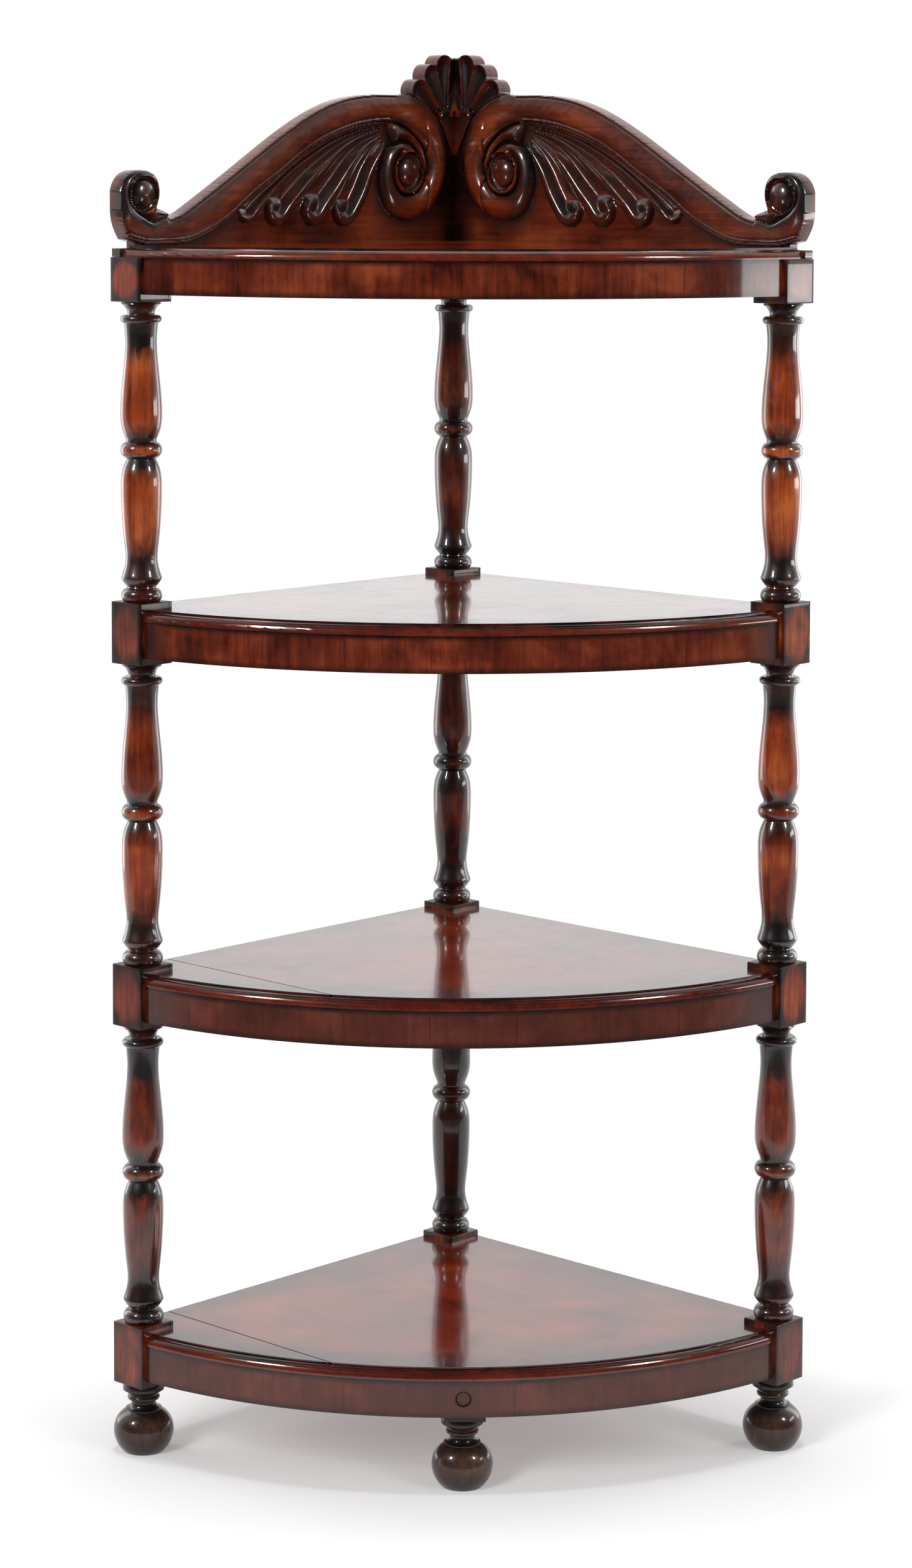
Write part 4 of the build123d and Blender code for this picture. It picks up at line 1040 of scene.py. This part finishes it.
# Painted shadow on the ground just under the band.
ground_dirt_and_shade = 0.24 + 0.75 * np.exp(-np.clip(-band, 0, None) / 12.0) + 0.12 * hollow
grime_and_shade = np.where(on_band, band_dirt_and_shade, np.where(feathered, feather_dirt_and_shade + 0.10 * fine_hollow, ground_dirt_and_shade))
# Painted shade at the foot of the board and in the corner by the mitre; the boss is darker in tone, and the
# outline's edges darker.
grime_and_shade += 0.5 * np.clip(1 - net_h / 6.0, 0, 1) + 1.5 * np.clip(1 - net_a / 48.0, 0, 1)
grime_and_shade += 0.35 * (from_large < 16.5) + 0.4 * np.clip(1 - np.abs(board) / 3.0, 0, 1)
grime_and_shade = np.clip(grime_and_shade, 0.0, 1.0)
print("relief from", round(float(relief.min()), 1), "to", round(float(relief[board > 0].max()), 1), "mm")

# %% [markdown]
# The shell is a separate piece glued over the mitre: three fluted lobes and a narrow middle one
# on each side, over a small lipped cup. Every lobe is hollow along its middle, and the ridges
# stand where two lobes meet. The shell is cut back where it meets the large scroll.

# %% Carve the shell
SHELL_BACK_MM, SHELL_MM, SCROLL_GAP_MM = 11.65, 19.15, 0.3
CUP_TOP_MM, LIP_LINE = 148, ((-1, 148), (12, 149.5), (25, 148.5), (34, 146.5), (43, 141))
FLUTE_MM, CUP_DROP_MM, EDGE_MM, OUTSIDE = 6.8, 0.6, 1.6, 9.0
lobe_share = np.full(net_a.shape, OUTSIDE)
for share in (*LOBES, MIDDLE_LOBE):
    centre_a, centre_h = on_panel(share)
    reach_a, reach_h = centre_a - root_a, centre_h - root_h
    length = hypot(reach_a, reach_h)
    along = ((net_a - root_a) * reach_a + (net_h - root_h) * reach_h) / length
    aside = np.abs((net_a - root_a) * reach_h - (net_h - root_h) * reach_a) / length
    spread = LOBE_RADIUS_MM * np.clip(along / length, 0.04, 1)
    beyond = np.hypot(np.clip(along - length, 0, None), aside)
    lobe_share = np.minimum(lobe_share, np.where(along > 0, beyond / spread, OUTSIDE))
stem_a, stem_h = on_panel(STEM)
calyx_a, calyx_h = on_panel(CALYX)
stem = depth_inside([(-NET_MARGIN_MM, calyx_h), (-NET_MARGIN_MM, stem_h), (0, stem_h), (stem_a, stem_h),
                     (calyx_a + CALYX_RADIUS_MM, calyx_h)])
cup = np.maximum(stem, CALYX_RADIUS_MM - np.hypot(net_a - calyx_a, net_h - calyx_h))
scroll_edge = scroll(LARGE_EYE, LARGE_RADIUS_MM, LARGE_TURNS, SCROLL_GAP_MM)
shell = np.minimum(np.maximum(crest, cup), -depth_inside(smooth_through(scroll_edge, 2.0)))
in_shell = np.clip(shell, 0, None)
flute = np.clip(1 - lobe_share ** 2, 0, 1) ** 0.8
shell_relief = SHELL_MM - FLUTE_MM * flute + 0.9 * bumpy(np.abs(lobe_share - 0.93), 0.10)
cup_slope = np.clip((net_h - 118) / 30, 0, 1) * np.clip(1 - np.abs(net_a - 16) / 30, 0, 1)
cup_relief = SHELL_MM - CUP_DROP_MM - 2.2 * cup_slope
shell_relief = np.where((net_h < CUP_TOP_MM) & (cup > 0), cup_relief, shell_relief)
near_lip = distance_to(smooth_through(LIP_LINE, 1.5))
shell_relief = np.minimum(shell_relief + 1.3 * bumpy(near_lip, 2.6), SHELL_MM + 0.6)
shell_relief -= EDGE_MM * bumpy(in_shell, EDGE_MM)
shell_hollow = softened(shell_relief, 4.0) - shell_relief
by_root = np.clip(1 - np.hypot(net_a - root_a, net_h - root_h) / 30, 0, 1)
# Dirt and painted shade on the shell: darker in the flutes and hollows, at its edge and by the root in the
# corner.
shell_dirt_and_shade = 0.42 + 0.50 * flute + 0.40 * shell_hollow + 0.3 * bumpy(in_shell, 3.0) + 0.5 * by_root
shell_dirt_and_shade = np.clip(shell_dirt_and_shade, 0, 1)
print("shell covers", round(float((shell > 0).sum()) * STEP_MM ** 2 / 100, 1), "square cm")

# %% [markdown]
# A height map becomes a solid in three moves. Every cell of the net inside the outline gives a
# face, and cells on the outline are cut where the distance inside passes through zero, which
# keeps the silhouette smooth. Then walls are dropped from the rim, and the back is closed.

# %% From a height map to a solid
def net_faces(inside):
    """Polygons of the net inside the outline, as points on the net or on its crossings."""
    points, faces, known = [], [], {}

    def corner(here):
        """The number of a point of the net, which is added when it is first met."""
        if here not in known:
            known[here] = len(points)
            points.append((float(here[0]), float(here[1])))
        return known[here]

    def crossing(*ends):
        """The number of the point where the outline cuts between two points of the net."""
        key = tuple(sorted(ends))
        if key not in known:
            known[key] = len(points)
            (i, j), (k, m) = key
            share = min(0.97, max(0.03, inside[i, j] / (inside[i, j] - inside[k, m])))
            points.append((i + (k - i) * share, j + (m - j) * share))
        return known[key]

    filled = inside > 0
    busy = filled[:-1, :-1] | filled[1:, :-1] | filled[1:, 1:] | filled[:-1, 1:]
    for i, j in np.argwhere(busy).tolist():
        ring = ((i, j), (i + 1, j), (i + 1, j + 1), (i, j + 1))
        face = []
        for here, there in zip(ring, ring[1:] + ring[:1]):
            if filled[here]:
                face.append(corner(here))
            if filled[here] != filled[there]:
                face.append(crossing(here, there))
        if len(face) > 2:
            faces.append(face)
    return np.array(points), faces


def sampled(field, points):
    """Values of a field at places between the points of the net."""
    i, j = np.floor(points).astype(int).T
    i, j = np.minimum(i, field.shape[0] - 2), np.minimum(j, field.shape[1] - 2)
    u, v = points[:, 0] - i, points[:, 1] - j
    return (field[i, j] * (1 - u) * (1 - v) + field[i + 1, j] * u * (1 - v)
            + field[i, j + 1] * (1 - u) * v + field[i + 1, j + 1] * u * v)


board_front, shell_front = net_faces(board), net_faces(shell)
print("board's front has", len(board_front[1]), "faces")

# %% [markdown]
# The carving is placed against the right wall, and its twin is the mirror image on the left.
# Both are cut on the middle line of the corner, where the two boards are mitred together, and
# the cut is closed again. They overlap there by a hair, or light would pass between the two
# polished faces. Mirroring turns faces inside out, so their order is reversed.

# %% Build both halves
PANEL_SETBACK, MITRE_OVERLAP, BACK_GRIME = 0.0025, 0.00002, 0.45
panel_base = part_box("right_pediment")[0][2]


def panel_place(along, height, out, side):
    """A place on a pediment board, from mm along the wall, above its foot and out from its back."""
    along, out = along / 1000, out / 1000 + PANEL_SETBACK
    x = (along - out) / sqrt(2)
    return x if side == "right" else -x, CORNER_Y - (along + out) / sqrt(2), panel_base + height / 1000


def mitred(mesh, side):
    """Cuts a board on the middle line of the corner and closes the cut."""
    outward = 1 if side == "right" else -1
    work = bmesh.new()
    work.from_mesh(mesh)
    bmesh.ops.remove_doubles(work, verts=work.verts[:], dist=0.0003)
    cut = bmesh.ops.bisect_plane(work, geom=work.verts[:] + work.edges[:] + work.faces[:], dist=1e-7,
                                 plane_co=(-outward * MITRE_OVERLAP, 0, 0), plane_no=(outward, 0, 0),
                                 clear_inner=True)
    edges = [item for item in cut["geom_cut"] if isinstance(item, bmesh.types.BMEdge)]
    bmesh.ops.triangle_fill(work, use_beauty=True, edges=edges)
    work.to_mesh(mesh)
    work.free()


def carved(name, front, relief, back, mask, side, material):
    """A carved solid from its front's polygons, its height map and the depth of its back."""
    points, faces = front
    along = points[:, 0] * STEP_MM - NET_MARGIN_MM
    height = np.maximum(points[:, 1] * STEP_MM - NET_MARGIN_MM, 0.0)
    count = len(points)
    vertices = [panel_place(a, h, n, side) for a, h, n in zip(along, height, sampled(relief, points))]
    vertices += [panel_place(a, h, back, side) for a, h in zip(along, height)]
    uses = set()
    for face in faces:
        uses.update(zip(face, face[1:] + face[:1]))
    solid = faces + [[k + count for k in reversed(face)] for face in faces]
    solid += [[b, a, a + count, b + count] for a, b in uses if (b, a) not in uses]
    if side == "left":
        solid = [face[::-1] for face in solid]
    mesh = bpy.data.meshes.new(name)
    mesh.from_pydata(vertices, [], solid)
    store_grime_and_shade(mesh, np.concatenate([sampled(mask, points), np.full(count, BACK_GRIME)]))
    mesh.materials.append(material)
    mitred(mesh, side)
    close_and_turn_out(mesh, 50)
    return add_to_scene(name, mesh)


for side in ALONG_WALL:
    carving = carved(f"{side}_carved_pediment", board_front, relief, 0.0, grime_and_shade, side, carved_finish[side])
    install(carving, f"{side}_pediment")
    piece = carved(f"{side}_carved_shell", shell_front, shell_relief, SHELL_BACK_MM, shell_dirt_and_shade, side,
                   shell_finish[side])
    install(piece, f"{side}_shell")
print("a carved board has", len(carving.data.polygons), "faces and a shell", len(piece.data.polygons))

# %% [markdown]
# The stand was photographed on plain white, with a soft shadow under the feet. A floor that is
# partly lit and partly shining looks white to the camera and still shows the shadow. Further
# out it only shines, so that it runs into the white background without a line. Far in front,
# what the polish mirrors of the floor fades into the dark room.

# %% Floor
FLOOR_RADIUS = 6.0
WHITE = (1, 1, 1, 1)
floor_mesh = bpy.data.meshes.new("studio_floor")
work = bmesh.new()
bmesh.ops.create_circle(work, cap_ends=True, segments=128, radius=FLOOR_RADIUS)
work.to_mesh(floor_mesh)
work.free()
add_to_scene("studio_floor", floor_mesh)
material, tree = new_material("studio_floor")
place = object_place(tree)
distance = add_node(tree, "ShaderNodeVectorMath", {0: place}, operation="LENGTH").outputs["Value"]
rays = add_node(tree, "ShaderNodeLightPath").outputs
by_camera = largest(tree, rays["Is Camera Ray"], rays["Is Transmission Ray"])
seen = largest(tree, by_camera, rays["Is Glossy Ray"])
lit = add_node(tree, "ShaderNodeBsdfDiffuse", {"Color": (0.80, 0.80, 0.80, 1)}).outputs[0]
glow = add_node(tree, "ShaderNodeEmission", {"Color": WHITE, "Strength": 0.25}).outputs[0]
whiteness = largest(tree, by_camera, ramp(tree, split(tree, place)[1], -1.1, -0.4, 0.2, 1.0))
plain = add_node(tree, "ShaderNodeEmission", {"Color": WHITE, "Strength": whiteness}).outputs[0]
bright = add_node(tree, "ShaderNodeAddShader", {0: lit, 1: glow}).outputs[0]
nearby = add_node(tree, "ShaderNodeMixShader", {0: seen, 1: lit, 2: bright}).outputs[0]
far = times(tree, seen, ramp(tree, distance, 0.45, 1.15))
mixed = add_node(tree, "ShaderNodeMixShader", {0: far, 1: nearby, 2: plain}).outputs[0]
add_node(tree, "ShaderNodeOutputMaterial", {"Surface": mixed})
floor_mesh.materials.append(material)
print("floor laid")

# %% [markdown]
# Polished wood shows its surroundings. The shelf tops mirror the white backdrop behind the
# stand, while the friezes mirror the dark room in front, and stay dark red. So the world is
# white to the camera, white behind the stand for reflections, and dim in front for them.

# %% Surroundings
DIM_ROOM = 0.28
world = bpy.data.worlds.new("studio")
bpy.context.scene.world = world
world.use_nodes = True
tree = world.node_tree
tree.nodes.clear()
behind = split(tree, add_node(tree, "ShaderNodeTexCoord").outputs["Generated"])[1]
mirrored_more = minus(tree, ramp(tree, behind, -0.22, 0.16, 0.04, 1.0), DIM_ROOM)
rays = add_node(tree, "ShaderNodeLightPath").outputs
soft = maths(tree, "MULTIPLY_ADD", rays["Is Glossy Ray"], mirrored_more, DIM_ROOM)
strength = largest(tree, soft, rays["Is Camera Ray"], rays["Is Transmission Ray"])
background = add_node(tree, "ShaderNodeBackground", {"Color": WHITE, "Strength": strength}).outputs[0]
add_node(tree, "ShaderNodeOutputWorld", {"Surface": background})
print("world ready")

# %% [markdown]
# Large soft lights stand round it, as in a furniture dealer's studio: a key to the front left,
# a weaker fill to the front right, one overhead, and a narrow panel behind each side that
# draws the edges of the posts. Large lights would veil the polish, so the front ones don't
# show in reflections. Three lamps are seen only in reflections: two small ones make the glints
# on carving and turning, and a low one lays a glare on the top right block and frieze.

# %% Lights
def soft_light(name, place, target, width, height, power):
    """A rectangular light that faces its target."""
    light = bpy.data.lights.new(name, "AREA")
    light.shape, light.size, light.size_y, light.energy = "RECTANGLE", width, height, power
    holder = add_to_scene(name, light)
    holder.location = place
    holder.rotation_euler = (Vector(target) - Vector(place)).to_track_quat("-Z", "Y").to_euler()
    return holder


LOW_AIM, MIDDLE_AIM, HIGH_AIM = (0, 0, 0.75), (0, 0, 1.0), (0, 0, 1.1)
for name, place, width, height, power in (("key", (-2.3, -2.9, 2.3), 1.2, 1.6, 74),
                                          ("fill", (2.7, -2.4, 1.8), 1.2, 1.6, 31),
                                          ("overhead", (0.0, -0.05, 3.3), 0.9, 0.8, 56)):
    soft_light(name, place, LOW_AIM, width, height, power).visible_glossy = False
for side, sign, power in (("left", -1, 80), ("right", 1, 60)):
    soft_light(f"{side}_panel", (sign * 1.97, 1.2, 1.25), HIGH_AIM, 0.80, 2.3, 18)
    glint = soft_light(f"{side}_glint", (sign * 2.6, -1.9, 2.7), MIDDLE_AIM, 0.42, 0.70, power)
    glint.visible_diffuse = False
soft_light("right_low", (2.4, -0.2, 0.97), (0.2, -0.2, 1.1), 1.2, 0.34, 11).visible_diffuse = False
print("lights:", len(bpy.data.lights))

# %% [markdown]
# The camera stood straight in front, at the height of the crest. Here it looks down by four
# degrees, and a lens shift moves the picture so that the whole stand is in it. Place, heading
# and lens come from matching the posts, shelves and feet of the CAD model to the photograph.

# %% Camera
CAMERA_PLACE = Vector((-0.11140, -3.71750, 1.26517))
HEADING, DOWNWARD, ROLL = 0.02905, 0.07115, 0.00353
LENS_MM, SENSOR_MM, SHIFT = 85.146, 36.0, -0.22
level = Vector((sin(HEADING), cos(HEADING), 0))
level_right = Vector((cos(HEADING), -sin(HEADING), 0))
forward = level * cos(DOWNWARD) - Vector((0, 0, 1)) * sin(DOWNWARD)
upward = Vector((0, 0, 1)) * cos(DOWNWARD) + level * sin(DOWNWARD)
right = level_right * cos(ROLL) + upward * sin(ROLL)
up = upward * cos(ROLL) - level_right * sin(ROLL)
camera_data = bpy.data.cameras.new("camera")
camera_data.lens, camera_data.sensor_width, camera_data.shift_y = LENS_MM, SENSOR_MM, SHIFT
camera = add_to_scene("camera", camera_data)
camera.matrix_world = Matrix.Translation(CAMERA_PLACE) @ Matrix((right, up, -forward)).transposed().to_4x4()
bpy.context.scene.camera = camera
bpy.context.scene.view_settings.view_transform = "Standard"
print("camera", round(degrees(DOWNWARD), 1), "degrees downwards")
